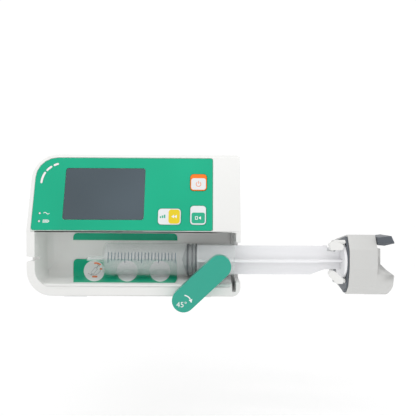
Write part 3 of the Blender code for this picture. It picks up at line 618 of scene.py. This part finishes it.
def scale_lines(name, count, pitch, first, start, sweep, finish):
    """Printed lines that follow the barrel's curve, one pitch apart."""
    sizes = bpy.context.scene.pump_sizes
    film = 0.04 * MM
    graph = GeometryGraph(name, {
        "Lines": ("NodeSocketInt", count),
        "Pitch": ("NodeSocketFloat", pitch),
        "Radius": ("NodeSocketFloat", (BARREL_R + 0.04) * MM),
        "Start": ("NodeSocketFloat", start),
        "Sweep": ("NodeSocketFloat", sweep),
        "Width": ("NodeSocketFloat", sizes.tick_width),
    })
    step = graph.add("ShaderNodeCombineXYZ", None, graph.given("Pitch"))
    row = graph.add("GeometryNodeMeshLine", {"mode": "OFFSET"}, sockets={
        "Count": graph.given("Lines"), "Start Location": (first, AXIS.y, AXIS.z), "Offset": step})
    line = graph.add("GeometryNodeCurveArc", None, sockets={
        "Resolution": 10, "Radius": graph.given("Radius"), "Start Angle": graph.given("Start"),
        "Sweep Angle": graph.given("Sweep")})
    section = graph.add("GeometryNodeCurvePrimitiveQuadrilateral", None, sockets={
        "Width": film, "Height": graph.given("Width")})
    bar = graph.add("GeometryNodeCurveToMesh", None, sockets={
        "Curve": line, "Profile Curve": section, "Fill Caps": True})
    spread = graph.add("GeometryNodeInstanceOnPoints", None, sockets={
        "Points": row, "Instance": bar, "Rotation": (math.pi / 2, 0.0, math.pi / 2)})
    graph.finish(spread, finish)
    return graph.build(name)


def row_of_bars(name, count, pitch, start, size, finish):
    """Louvres: rounded bars one above the other."""
    graph = GeometryGraph(name, {
        "Bars": ("NodeSocketInt", count),
        "Pitch": ("NodeSocketFloat", pitch),
        "Length": ("NodeSocketFloat", size[0]),
        "Depth": ("NodeSocketFloat", size[1]),
        "Height": ("NodeSocketFloat", size[2]),
    })
    step = graph.add("ShaderNodeCombineXYZ", None, 0.0, 0.0, graph.given("Pitch"))
    row = graph.add("GeometryNodeMeshLine", {"mode": "OFFSET"}, sockets={
        "Count": graph.given("Bars"), "Start Location": start, "Offset": step})
    lens = graph.add("GeometryNodeMeshCylinder", None, sockets={
        "Vertices": 16, "Radius": 0.5, "Depth": graph.given("Length")})
    scale = graph.add("ShaderNodeCombineXYZ", None, graph.given("Height"), graph.given("Depth"), 1.0)
    spread = graph.add("GeometryNodeInstanceOnPoints", None, sockets={
        "Points": row, "Instance": lens, "Rotation": (0.0, math.pi / 2, 0.0), "Scale": scale})
    graph.finish(spread, finish)
    return graph.build(name)


def spread_over(name, source, places, turn, finish):
    """Copies of one small piece at each place, through a point cloud of places."""
    cloud = bpy.data.meshes.new(f"{name}_places")
    cloud.from_pydata([tuple(p) for p in places], [], [])
    graph = GeometryGraph(name, {"Turn": ("NodeSocketVector", turn)})
    item = graph.add("GeometryNodeObjectInfo", None, source, output=4)
    spread = graph.add("GeometryNodeInstanceOnPoints", None, sockets={
        "Points": graph.given("Geometry"), "Instance": item, "Rotation": graph.given("Turn")})
    graph.finish(spread, finish)
    result = graph.build(name, cloud)
    bpy.data.objects.remove(source)
    return result


def at(x, y, z):
    """A point of the casing's datum, in millimetres, in the row's frame."""
    return DATUM + Vector((x, y, z)) * MM


# ---------------------------------------------------------------- operators

class PieceOperator:
    """Shared settings of the operators below."""

    bl_options = {"REGISTER"}

    @property
    def sizes(self):
        return bpy.context.scene.pump_sizes

    @property
    def colours(self):
        return bpy.context.scene.pump_colours


class PUMP_OT_casing(PieceOperator, bpy.types.Operator):
    """Front and rear shells, battery cover, bushing and feet"""

    bl_idname = "pump.casing"
    bl_label = "Casing"

    def execute(self, context):
        for node in ("front_case", "rear_case"):
            refined(node, self.sizes.edge)
        refined("battery_cover", 0.0004)
        refined("tube_bushing", 0.0005)
        for node in ("front_left_foot", "front_right_foot", "rear_left_foot", "rear_right_foot"):
            refined(node, 0.0006)
        return {"FINISHED"}


class PUMP_OT_panel(PieceOperator, bpy.types.Operator):
    """Printed film, display window, lamps, alarm light and keys with their symbols"""

    bl_idname = "pump.panel"
    bl_label = "Panel"

    def execute(self, context):
        refined("panel_overlay", 0.00012, 1)
        refined("screen_glass", 0.00015, 1)
        for node in ("mains_lamp", "battery_lamp", "alarm_light_guide"):
            refined(node, 0.0001, 1)
        for node in PANEL_KEYS:
            refined(node, 0.0003, 3)
        self.alarm_dashes()
        self.lamp_symbols()
        self.power_symbol()
        self.bolus_symbol()
        self.start_symbol()
        return {"FINISHED"}

    def alarm_dashes(self):
        """The alarm light's three windows, as printed round-ended dashes over the light guide."""
        glow = ink_for("alarm_ink")
        outlines = []
        for start, end in ALARM_DASHES:
            middle = [Vector(p) for p in arc(ALARM_U, ALARM_V, ALARM_R, start, end, 14)]
            caps = []
            for tip, heading in ((middle[-1], end), (middle[0], start + 180)):
                caps.append(arc(tip.x, tip.y, ALARM_WIDTH / 2, heading, heading + 180, 8))
            outer = arc(ALARM_U, ALARM_V, ALARM_R + ALARM_WIDTH / 2, start, end, 14)
            inner = arc(ALARM_U, ALARM_V, ALARM_R - ALARM_WIDTH / 2, end, start, 14)
            outlines.append(outer[:-1] + caps[0] + inner[1:-1] + caps[1][:-1])
        printed("alarm_dashes", outlines, PANEL, 0, "pump", glow, "light_guide")

    def lamp_symbols(self):
        white = ink_for("white_ink")
        wave = [(13.7 + 5.2 * t / 24, MAINS_V + 0.75 * math.sin(2 * math.pi * t / 24)) for t in range(25)]
        cell = rounded_rect(13.6, 18.4, BATTERY_V - 1.35, BATTERY_V + 1.35, 0.5)
        hollow = rounded_rect(14.0, 18.0, BATTERY_V - 0.95, BATTERY_V + 0.95, 0.3)
        tip = rounded_rect(18.55, 19.2, BATTERY_V - 0.6, BATTERY_V + 0.6, 0.15)
        bars = [rounded_rect(u, u + 0.9, BATTERY_V - 0.6, BATTERY_V + 0.6, 0.1)
                for u in (14.35, 15.55, 16.75)]
        printed("mains_symbol", [stroke(wave, 0.55)], PANEL, 0, "pump", white, "panel_green")
        printed("battery_symbol", [cell, hollow, tip, *bars], PANEL, 0, "pump", white, "panel_green")

    def power_symbol(self):
        white = ink_for("key_ink")
        orange = ink_for("orange_ink")
        left, right, low, _high = PANEL_KEYS["power_key"]
        middle = (left + right) / 2
        body = BODY_OF["power_key"]
        window = rounded_rect(left + 0.8, right - 0.8, low + 0.8, low + 11.4, 2.2)
        printed("power_window", [window], PANEL, KEY_PROUD, body, white, "key_orange")
        ring = stroke(arc(middle, low + 5.9, 2.1, 125, 415, 30), 0.5)
        mark = rounded_rect(middle - 0.25, middle + 0.25, low + 6.2, low + 8.9, 0.2)
        printed("power_symbol", [ring, mark], PANEL, KEY_PROUD + PRINT, body, orange, "key_orange")

    def bolus_symbol(self):
        yellow = ink_for("yellow_ink")
        white = ink_for("white_ink")
        green = ink_for("green_ink")
        left, right, low, high = PANEL_KEYS["bolus_key"]
        body = BODY_OF["bolus_key"]
        patch = rounded_rect(left + 9.2, right - 0.8, low + 0.8, high - 0.8, 2.4)
        printed("fast_patch", [patch], PANEL, KEY_PROUD, body, yellow, "key_white")
        middle = (low + high) / 2
        arrows = [[(u, middle), (u + 2.3, middle + 1.6), (u + 2.3, middle - 1.6)]
                  for u in (left + 11.7, left + 14.1)]
        printed("fast_arrows", arrows, PANEL, KEY_PROUD + PRINT, body, white, "key_white")
        bars = [rounded_rect(left + u, left + u + 1.2, middle - 1.4, middle + h, 0.25)
                for u, h in ((1.6, 0.2), (3.4, 0.9), (5.2, 1.6))]
        printed("rate_bars", bars, PANEL, KEY_PROUD, body, green, "key_white")

    def start_symbol(self):
        green = ink_for("green_ink")
        white = ink_for("white_ink")
        left, right, low, _high = PANEL_KEYS["start_key"]
        body = BODY_OF["start_key"]
        patch = rounded_rect(left + 1.2, right - 1.0, low + 1.2, low + 10.8, 1.8)
        printed("start_patch", [patch], PANEL, KEY_PROUD, body, green, "key_white")
        middle = low + 6.0
        stop = rounded_rect(left + 4.3, left + 6.7, middle - 1.5, middle + 1.5, 0.3)
        hollow = rounded_rect(left + 4.8, left + 6.2, middle - 1.0, middle + 1.0, 0.15)
        run = [(left + 7.3, middle), (left + 9.4, middle + 1.6), (left + 9.4, middle - 1.6)]
        printed("start_symbol", [stop, hollow, run], PANEL, KEY_PROUD + PRINT, body, white, "key_white")


class PUMP_OT_bay_labels(PieceOperator, bpy.types.Operator):
    """Green strip and trough label with its loading pictograms"""

    bl_idname = "pump.bay_labels"
    bl_label = "Bay labels"

    def execute(self, context):
        refined("bay_strip", 0)
        refined("trough_label", 0)
        paper = ink_for("pictogram_white")
        grey = ink_for("pictogram_grey")
        orange = ink_for("orange_ink")
        for i, u in enumerate((53.5, 83.7, 113.8)):
            self.wrapped(f"pictogram_{i}", [disc(u, 19.3, 9.6)], 0.03, paper)
            self.wrapped(f"pictogram_lines_{i}", self.syringe_drawing(u, 19.3, i), 0.08, grey)
        arrow = stroke(arc(55.0, 20.5, 6.0, 105, 45, 10), 1.3)
        marks = [rounded_rect(58.6, 60.8, 20.4, 21.8, 0.3), rounded_rect(51.6, 56.4, 13.2, 14.8, 0.6)]
        self.wrapped("pictogram_arrows", [arrow, *marks], 0.08, orange)
        return {"FINISHED"}

    @staticmethod
    def syringe_drawing(cu, cv, step):
        """A small syringe over its cradle, turned further in each picture."""
        tilt = (52.0, 8.0, 0.0)[step]
        barrel = rounded_rect(-3.4, 3.4, -1.5, 1.5, 0.4)
        hollow = rounded_rect(-3.1, 3.1, -1.2, 1.2, 0.2)
        stem = rounded_rect(3.5, 6.2, -0.35, 0.35, 0.1)
        thumb = rounded_rect(6.3, 6.8, -1.5, 1.5, 0.1)
        tip = rounded_rect(-5.2, -3.5, -0.3, 0.3, 0.1)
        cradle = stroke(arc(0.0, 3.4, 7.2, 215, 325, 14), 0.35)
        drawing = [moved(part, cu, cv, tilt) for part in (barrel, hollow, stem, thumb, tip)]
        return drawing + [moved(cradle, cu, cv, tilt / 4)]

    @staticmethod
    def trough_point(height):
        """The trough's (y, z) that a reader in front sees at this height over the axis plane."""
        low, high = 0.0, 1.0
        base = math.radians(TROUGH_START)
        tilt = math.radians(TROUGH_START + 90)
        for _ in range(30):
            middle = (low + high) / 2
            reach = middle * (TROUGH_FLAT + TROUGH_R * math.radians(-TROUGH_START))
            if reach < TROUGH_FLAT:
                y = TROUGH_Y + TROUGH_R * math.cos(base) - (TROUGH_FLAT - reach) * math.cos(tilt)
                z = TROUGH_Z + TROUGH_R * math.sin(base) - (TROUGH_FLAT - reach) * math.sin(tilt)
                normal = Vector((-math.sin(tilt), math.cos(tilt)))
            else:
                angle = base + (reach - TROUGH_FLAT) / TROUGH_R
                y = TROUGH_Y + TROUGH_R * math.cos(angle)
                z = TROUGH_Z + TROUGH_R * math.sin(angle)
                normal = Vector((-math.cos(angle), -math.sin(angle)))
            seen = READER.z + (z - READER.z) * -READER.y / (y - READER.y)
            if seen < height:
                low = middle
            else:
                high = middle
        return Vector((y, z)), normal

    def wrapped(self, name, outlines, lift, finish):
        """A flat drawing laid on the trough's curve."""
        piece = plate(name, outlines, FRONT, 0, 0.02)
        piece.data.transform(FRONT.inverted())
        bm = bmesh.new()
        bm.from_mesh(piece.data)
        bmesh.ops.triangulate(bm, faces=bm.faces)
        first, pitch, cuts = 8.0, 0.5, 45
        for i in range(cuts):
            bmesh.ops.bisect_plane(bm, geom=bm.verts[:] + bm.edges[:] + bm.faces[:],
                                   plane_co=(0, first + pitch * i, 0), plane_no=(0, 1, 0))
        for vert in bm.verts:
            point, normal = self.trough_point(vert.co.y)
            point += normal * (lift + vert.co.z)
            depth = (point.x - READER.y) / -READER.y
            across = READER.x + (vert.co.x - READER.x) * depth
            vert.co = at(across, point.x, point.y)
        bmesh.ops.recalc_face_normals(bm, faces=bm.faces)
        bm.to_mesh(piece.data)
        bm.free()
        place(piece, "pump", "panel_green", finish, smooth=30)


class PUMP_OT_syringe(PieceOperator, bpy.types.Operator):
    """Clear barrel with its scale, rubber stopper and plunger rod"""

    bl_idname = "pump.syringe"
    bl_label = "Syringe"

    def execute(self, context):
        self.barrel()
        self.stopper()
        refined("plunger_rod", 0)
        dark = ink_for("scale_ink")
        first, start = at(69.4, 0, 0).x, math.radians(152)
        sizes = self.sizes
        rows = (("scale_lines", sizes.ticks, 1, 27), ("scale_long_lines", 1 + sizes.ticks // 5, 5, 34))
        for name, count, every, sweep in rows:
            lines = scale_lines(name, count, sizes.tick_pitch * every, first, start, math.radians(sweep),
                                dark)
            place(lines, "pump", "clear_plastic", dark)
        return {"FINISHED"}

    def barrel(self):
        def x(mm):
            return at(mm, 0, 0).x

        outer, bore = BARREL_R * MM, BORE_R * MM
        nozzle = [(x(47.0), 0.00185), (x(48.0), 0.0021), (x(61.0), 0.0032), (x(61.5), 0.0045),
                  (x(62.6), 0.0062)]
        shoulder = [(x(63.0), outer - 0.0035), (x(63.4), outer - 0.0014), (x(64.4), outer - 0.0003),
                    (x(65.6), outer)]
        inside = [(x(181.5), bore), (x(66.0), bore), (x(65.0), bore - 0.0012), (x(64.2), 0.0030),
                  (x(62.4), 0.0010), (x(47.0), 0.0010)]
        profile = nozzle + shoulder + [(x(181.5), outer)] + inside
        tube = lathe("syringe_tube", profile)
        wings = plate("syringe_flange", [self.flange_outline(), disc(0, 0, 15.0, 64)],
                      axes(Y, Z, X, (0.0, 0.0, (AXIS.z - DATUM.z) / MM)), 179.5, 181.5)
        union = tube.modifiers.new("flange", "BOOLEAN")
        union.operation = "UNION"
        union.object = wings
        union.solver = "EXACT"
        barrel = as_plain_mesh(tube, "syringe_barrel_clear")
        bpy.data.objects.remove(wings)
        tidy(barrel.data)
        place(barrel, "pump", "clear_plastic", smooth=32)
        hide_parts("syringe_barrel")

    @staticmethod
    def stopper():
        """A rubber cone and two grooves between rings that are squeezed flat against the bore."""
        squeezed, seat = 14.53 * MM, 13.0 * MM
        low, high = (Vector(corner).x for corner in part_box("plunger_stopper"))
        cone = [(low, 0.0), (low + 0.0006, 0.0016), (low + 0.0046, squeezed - 0.0006)]
        rings = [(low + ahead, radius) for ahead, radius in (
            (0.0050, squeezed), (0.0066, squeezed), (0.0072, seat), (0.0090, seat), (0.0096, squeezed),
            (0.0104, squeezed), (0.0110, seat), (0.0121, seat), (0.0127, squeezed))]
        rear = [(high - 0.0003, squeezed), (high, squeezed - 0.0004), (high, 0.0)]
        stopper = lathe("stopper_rings", cone + rings + rear)
        place(stopper, BODY_OF["plunger_stopper"], "black_rubber", smooth=35)
        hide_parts("plunger_stopper")

    @staticmethod
    def flange_outline():
        """Finger wings, narrow at their tips and wide at the barrel."""
        half = arc(9, 22, 2.9, 80, 20, 6) + arc(12.5, 8, 4.3, 20, 0, 5)
        right = half + [(y, -z) for y, z in reversed(half)]
        return right + [(-y, -z) for y, z in right]


class PUMP_OT_pusher_head(PieceOperator, bpy.types.Operator):
    """Head casing, face, claws, release lever and drive tube"""

    bl_idname = "pump.pusher_head"
    bl_label = "Pusher head"

    def execute(self, context):
        # The head's finish is a darker copy of the casing's white moulding: painted shade, not a different
        # plastic.
        shaded_head_shell = material("head_plastic_painted_shade", moulded, tuple(self.colours.head), 0.36, 0.6, 0.000012, 0.1)
        refined("head_case", 0.0007, 3, finish=shaded_head_shell)
        refined("head_face", 0.0003)
        for node in ("upper_claw", "lower_claw"):
            refined(node, 0.0006, 3)
        refined("release_lever", 0.0005)
        refined("drive_tube", 0.0003)
        return {"FINISHED"}


class PUMP_OT_clamp_lever(PieceOperator, bpy.types.Operator):
    """Green clamp lever with its turn mark, shaft and stop"""

    bl_idname = "pump.clamp_lever"
    bl_label = "Clamp lever"

    def execute(self, context):
        refined("clamp_lever", 0.0003)
        refined("clamp_shaft", 0.0002)
        refined("clamp_bushing", 0.0002)
        refined("lever_stop", 0.0001)
        white = ink_for("white_ink")
        face = (DATUM.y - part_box("clamp_lever")[0][1]) / MM
        self.angle_text(white, face)
        cu, cv, radius, aim = 137.4, -2.6, 6.3, math.radians(16)
        sweep = arc(cu, cv, radius, 84, 28, 14)
        end = Vector((cu, cv)) + radius * Vector((math.cos(aim), math.sin(aim)))
        head = moved([(-1.7, 0.9), (1.5, 1.3), (0.2, -1.9)], end.x, end.y, 8)
        printed("turn_arrow", [stroke(sweep, 0.95), head], FRONT, face, "clamp", white, "lever_green")
        return {"FINISHED"}

    @staticmethod
    def angle_text(finish, face):
        """The lever's turn, as an angle."""
        text = bpy.data.curves.new("turn_angle", "FONT")
        text.body = "45°"
        text.size = 6.3
        text.extrude = PRINT / 2
        text.space_character = 1.05
        piece = as_plain_mesh(new_object("turn_angle", text), "turn_angle")
        piece.data.transform(FRONT @ Matrix.Translation((131.2, -6.3, face + PRINT / 2)))
        tidy(piece.data)
        place(piece, "clamp", "lever_green", finish)


class PUMP_OT_pole_clamp(PieceOperator, bpy.types.Operator):
    """Bracket, jaw, threaded screw and knob"""

    bl_idname = "pump.pole_clamp"
    bl_label = "Pole clamp"

    def execute(self, context):
        refined("pole_bracket", 0.0012, 3)
        refined("pole_jaw", 0.0008, 3)
        refined("pole_knob", 0.0012, 3, angle=60, smooth=40)
        self.threaded_screw()
        return {"FINISHED"}

    def threaded_screw(self):
        """A helical thread over a core, in the space of the plain CAD screw."""
        low, high = (Vector(c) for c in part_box("pole_screw"))
        radius = (high.z - low.z) / 2
        pitch = self.sizes.thread_pitch
        turns = int((high.x - low.x) / pitch) - 1
        root = radius - 0.6 * pitch
        profile = [(0.0, root), (0.35 * pitch, radius), (0.5 * pitch, radius), (0.85 * pitch, root),
                   (pitch, root)]
        steps = 24
        bm = bmesh.new()
        verts = [bm.verts.new((x, 0.0, r)) for x, r in profile]
        edges = [bm.edges.new(pair) for pair in zip(verts, verts[1:])]
        bmesh.ops.spin(bm, geom=verts + edges, cent=(0, 0, 0), axis=(1, 0, 0), angle=2 * math.pi * turns,
                       dvec=(pitch / steps, 0, 0), steps=steps * turns)
        bmesh.ops.remove_doubles(bm, verts=bm.verts, dist=0.000002)
        bmesh.ops.recalc_face_normals(bm, faces=bm.faces)
        mesh = into_mesh(bm, "pole_screw_thread")
        axis = Vector((low.x, (low.y + high.y) / 2, (low.z + high.z) / 2))
        mesh.transform(Matrix.Translation(axis))
        thread = new_object("pole_screw_thread", mesh)
        core = bmesh.new()
        bmesh.ops.create_cone(core, cap_ends=True, segments=48, radius1=root, radius2=root,
                              depth=high.x - low.x)
        middle = Matrix.Translation(((low.x + high.x) / 2, axis.y, axis.z))
        bmesh.ops.transform(core, matrix=middle @ Matrix.Rotation(math.pi / 2, 4, "Y"), verts=core.verts)
        core = new_object("pole_screw_core", into_mesh(core, "pole_screw_core"))
        screw = joined("pole_screw_threaded", [thread, core])
        place(screw, BODY_OF["pole_screw"], "steel", smooth=35)
        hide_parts("pole_screw")


class PUMP_OT_fasteners(PieceOperator, bpy.types.Operator):
    """Case screws, rear louvres, and black discs painted as the shade of speaker holes"""

    bl_idname = "pump.fasteners"
    bl_label = "Fasteners and vents"

    def execute(self, context):
        back = (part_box("rear_case")[1][1] - DATUM.y) / MM
        places = [at(x, back + 0.25, z) for x in (12, 174) for z in (14, 112)]
        self.screws("case_screws", places, "pump")
        bracket_back = (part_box("pole_bracket")[1][1] - DATUM.y) / MM
        places = [at(x, bracket_back - BACK_OF_PLATE + 0.2, z) for x in (88, 110) for z in (50, 70)]
        self.screws("bracket_screws", places, "pump")
        dark = finish_for("black_plastic")
        sizes = self.sizes
        louvres = row_of_bars("rear_louvres", sizes.vents, sizes.vent_pitch, at(95, back, 83),
                              (0.056, 0.0011, 0.0021), dark)
        place(louvres, "pump", "black_plastic", smooth=40)
        self.speaker_hole_shade_discs(back, dark)
        return {"FINISHED"}

    @staticmethod
    def screws(name, places, body):
        """Cross-head screws facing the back."""
        flat = Matrix.Scale(MM, 4)
        head = plate(f"{name}_head", [disc(0, 0, 3.0, 28), rounded_rect(-1.7, 1.7, -0.4, 0.4, 0.1)],
                     flat, -0.25, 0.25)
        floor = plate(f"{name}_floor", [disc(0, 0, 2.9, 28)], flat, -0.25, -0.05)
        cross = plate(f"{name}_cross", [rounded_rect(-0.35, 0.35, -1.6, 1.6, 0.1)], flat, 0.0, 0.26)
        source = joined(f"{name}_source", [head, floor, cross])
        steel = finish_for("steel")
        source.data.materials.append(steel)
        rows = spread_over(name, source, places, (-math.pi / 2, 0.0, 0.0), steel)
        place(rows, body, "steel", steel)

    @staticmethod
    def speaker_hole_shade_discs(back, dark):
        """Rings of small black discs over the speaker, flush with the casing: painted shade standing in for
        sound holes.
        """
        low, high = (Vector(c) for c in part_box("speaker"))
        centre = (low + high) / 2
        places = [Vector((centre.x, DATUM.y + back * MM + 0.00003, centre.z))]
        ring_pitch = 3.2
        for ring in (1, 2, 3):
            for i in range(6 * ring):
                angle = 2 * math.pi * i / (6 * ring)
                outwards = Vector((math.cos(angle), 0, math.sin(angle)))
                places.append(places[0] + outwards * ring * ring_pitch * MM)
        # A black disc standing 0.02 mm either side of the casing's back: painted shade where a hole would be.
        hole = plate("sound_hole", [disc(0, 0, 0.8, 12)], Matrix.Scale(MM, 4), -0.02, 0.02)
        hole.data.materials.append(dark)
        holes = spread_over("sound_holes", hole, places, (-math.pi / 2, 0.0, 0.0), dark)
        place(holes, "pump", "black_plastic", dark)


class PUMP_OT_inner_parts(PieceOperator, bpy.types.Operator):
    """Finishes for the drive, electronics and other pieces that keep their CAD shape"""

    bl_idname = "pump.inner_parts"
    bl_label = "Inner parts"

    def execute(self, context):
        refined("power_inlet", 0.0003)
        for node, part in NODES.items():
            finish = finish_for(SLOT_OF[node])
            if part.material_slots:
                part.material_slots[0].material = finish
            else:
                part.data.materials.append(finish)
        return {"FINISHED"}


class PUMP_OT_stage(PieceOperator, bpy.types.Operator):
    """Floor, soft lights, background and camera"""

    bl_idname = "pump.stage"
    bl_label = "Stage"

    def execute(self, context):
        self.camera(context.scene)
        self.floor()
        self.world(context.scene)
        self.softbox("tube_lamp", at(95, -175, 335), at(120, 0, 35), (0.62, 0.010), 0.25)
        self.softbox("front_light", at(40, -760, 470), at(110, 0, 40), (1.2, 0.8), 0.15)
        return {"FINISHED"}

    @staticmethod
    def camera(scene):
        lens = bpy.data.cameras.new("camera")
        lens.sensor_width = 36.0
        lens.lens = 41.54
        view = bpy.data.objects.new("camera", lens)
        view.location = at(*READER)
        view.rotation_euler = (math.pi / 2, -math.radians(0.3), 0.0)
        scene.collection.objects.link(view)
        scene.camera = view
        scene.view_settings.view_transform = "Standard"

    @staticmethod
    def floor():
        bm = bmesh.new()
        bmesh.ops.create_grid(bm, x_segments=1, y_segments=1, size=6.0)
        mesh = into_mesh(bm, "floor")
        mesh.transform(Matrix.Translation(at(150, 0, -140)))
        ground = new_object("floor", mesh)
        pale = bpy.data.materials.new("pale_floor")
        pale.use_nodes = True
        shader = pale.node_tree.nodes["Principled BSDF"]
        shader.inputs["Base Color"].default_value = (0.95, 0.95, 0.95, 1.0)
        shader.inputs["Roughness"].default_value = 0.9
        shader.inputs["Emission Color"].default_value = (1.0, 1.0, 1.0, 1.0)
        shader.inputs["Emission Strength"].default_value = 0.10
        mesh.materials.append(pale)

    @staticmethod
    def world(scene):
        studio = bpy.data.worlds.new("studio")
        studio.use_nodes = True
        graph = Graph(studio.node_tree)
        seen = graph.add("ShaderNodeLightPath", None)
        backdrop = studio.node_tree.nodes["Background"]
        backdrop.inputs["Color"].default_value = (1.0, 1.0, 1.0, 1.0)
        graph.feed(backdrop.inputs["Strength"], AMBIENT + seen * (BACKDROP - AMBIENT))
        scene.world = studio

    @staticmethod
    def softbox(name, place_at, aim, size, power):
        lamp = bpy.data.lights.new(name, "AREA")
        lamp.shape = "RECTANGLE"
        lamp.size, lamp.size_y = size
        lamp.energy = power
        box = bpy.data.objects.new(name, lamp)
        box.location = place_at
        box.rotation_euler = (aim - place_at).to_track_quat("-Z", "Y").to_euler()
        bpy.context.scene.collection.objects.link(box)


class PUMP_PT_panel(bpy.types.Panel):
    """Lists the pump's pieces and settings"""

    bl_idname = "PUMP_PT_panel"
    bl_label = "Infusion pump"
    bl_space_type = "VIEW_3D"
    bl_region_type = "UI"
    bl_category = "Pump"

    def draw(self, context):
        for group in (context.scene.pump_sizes, context.scene.pump_colours):
            for name in type(group).__annotations__:
                self.layout.prop(group, name)
        for operator in OPERATORS:
            self.layout.operator(operator.bl_idname)


OPERATORS = (PUMP_OT_stage, PUMP_OT_casing, PUMP_OT_panel, PUMP_OT_bay_labels, PUMP_OT_syringe,
             PUMP_OT_pusher_head, PUMP_OT_clamp_lever, PUMP_OT_pole_clamp, PUMP_OT_fasteners,
             PUMP_OT_inner_parts)
CLASSES = (PumpSizes, PumpColours, *OPERATORS, PUMP_PT_panel)


def register():
    for item in CLASSES:
        bpy.utils.register_class(item)
    bpy.types.Scene.pump_sizes = PointerProperty(type=PumpSizes)
    bpy.types.Scene.pump_colours = PointerProperty(type=PumpColours)


def unregister():
    del bpy.types.Scene.pump_colours
    del bpy.types.Scene.pump_sizes
    for item in reversed(CLASSES):
        bpy.utils.unregister_class(item)


def main():
    register()
    for operator in OPERATORS:
        group, action = operator.bl_idname.split(".")
        getattr(getattr(bpy.ops, group), action)()


if __name__ == "__main__":
    main()
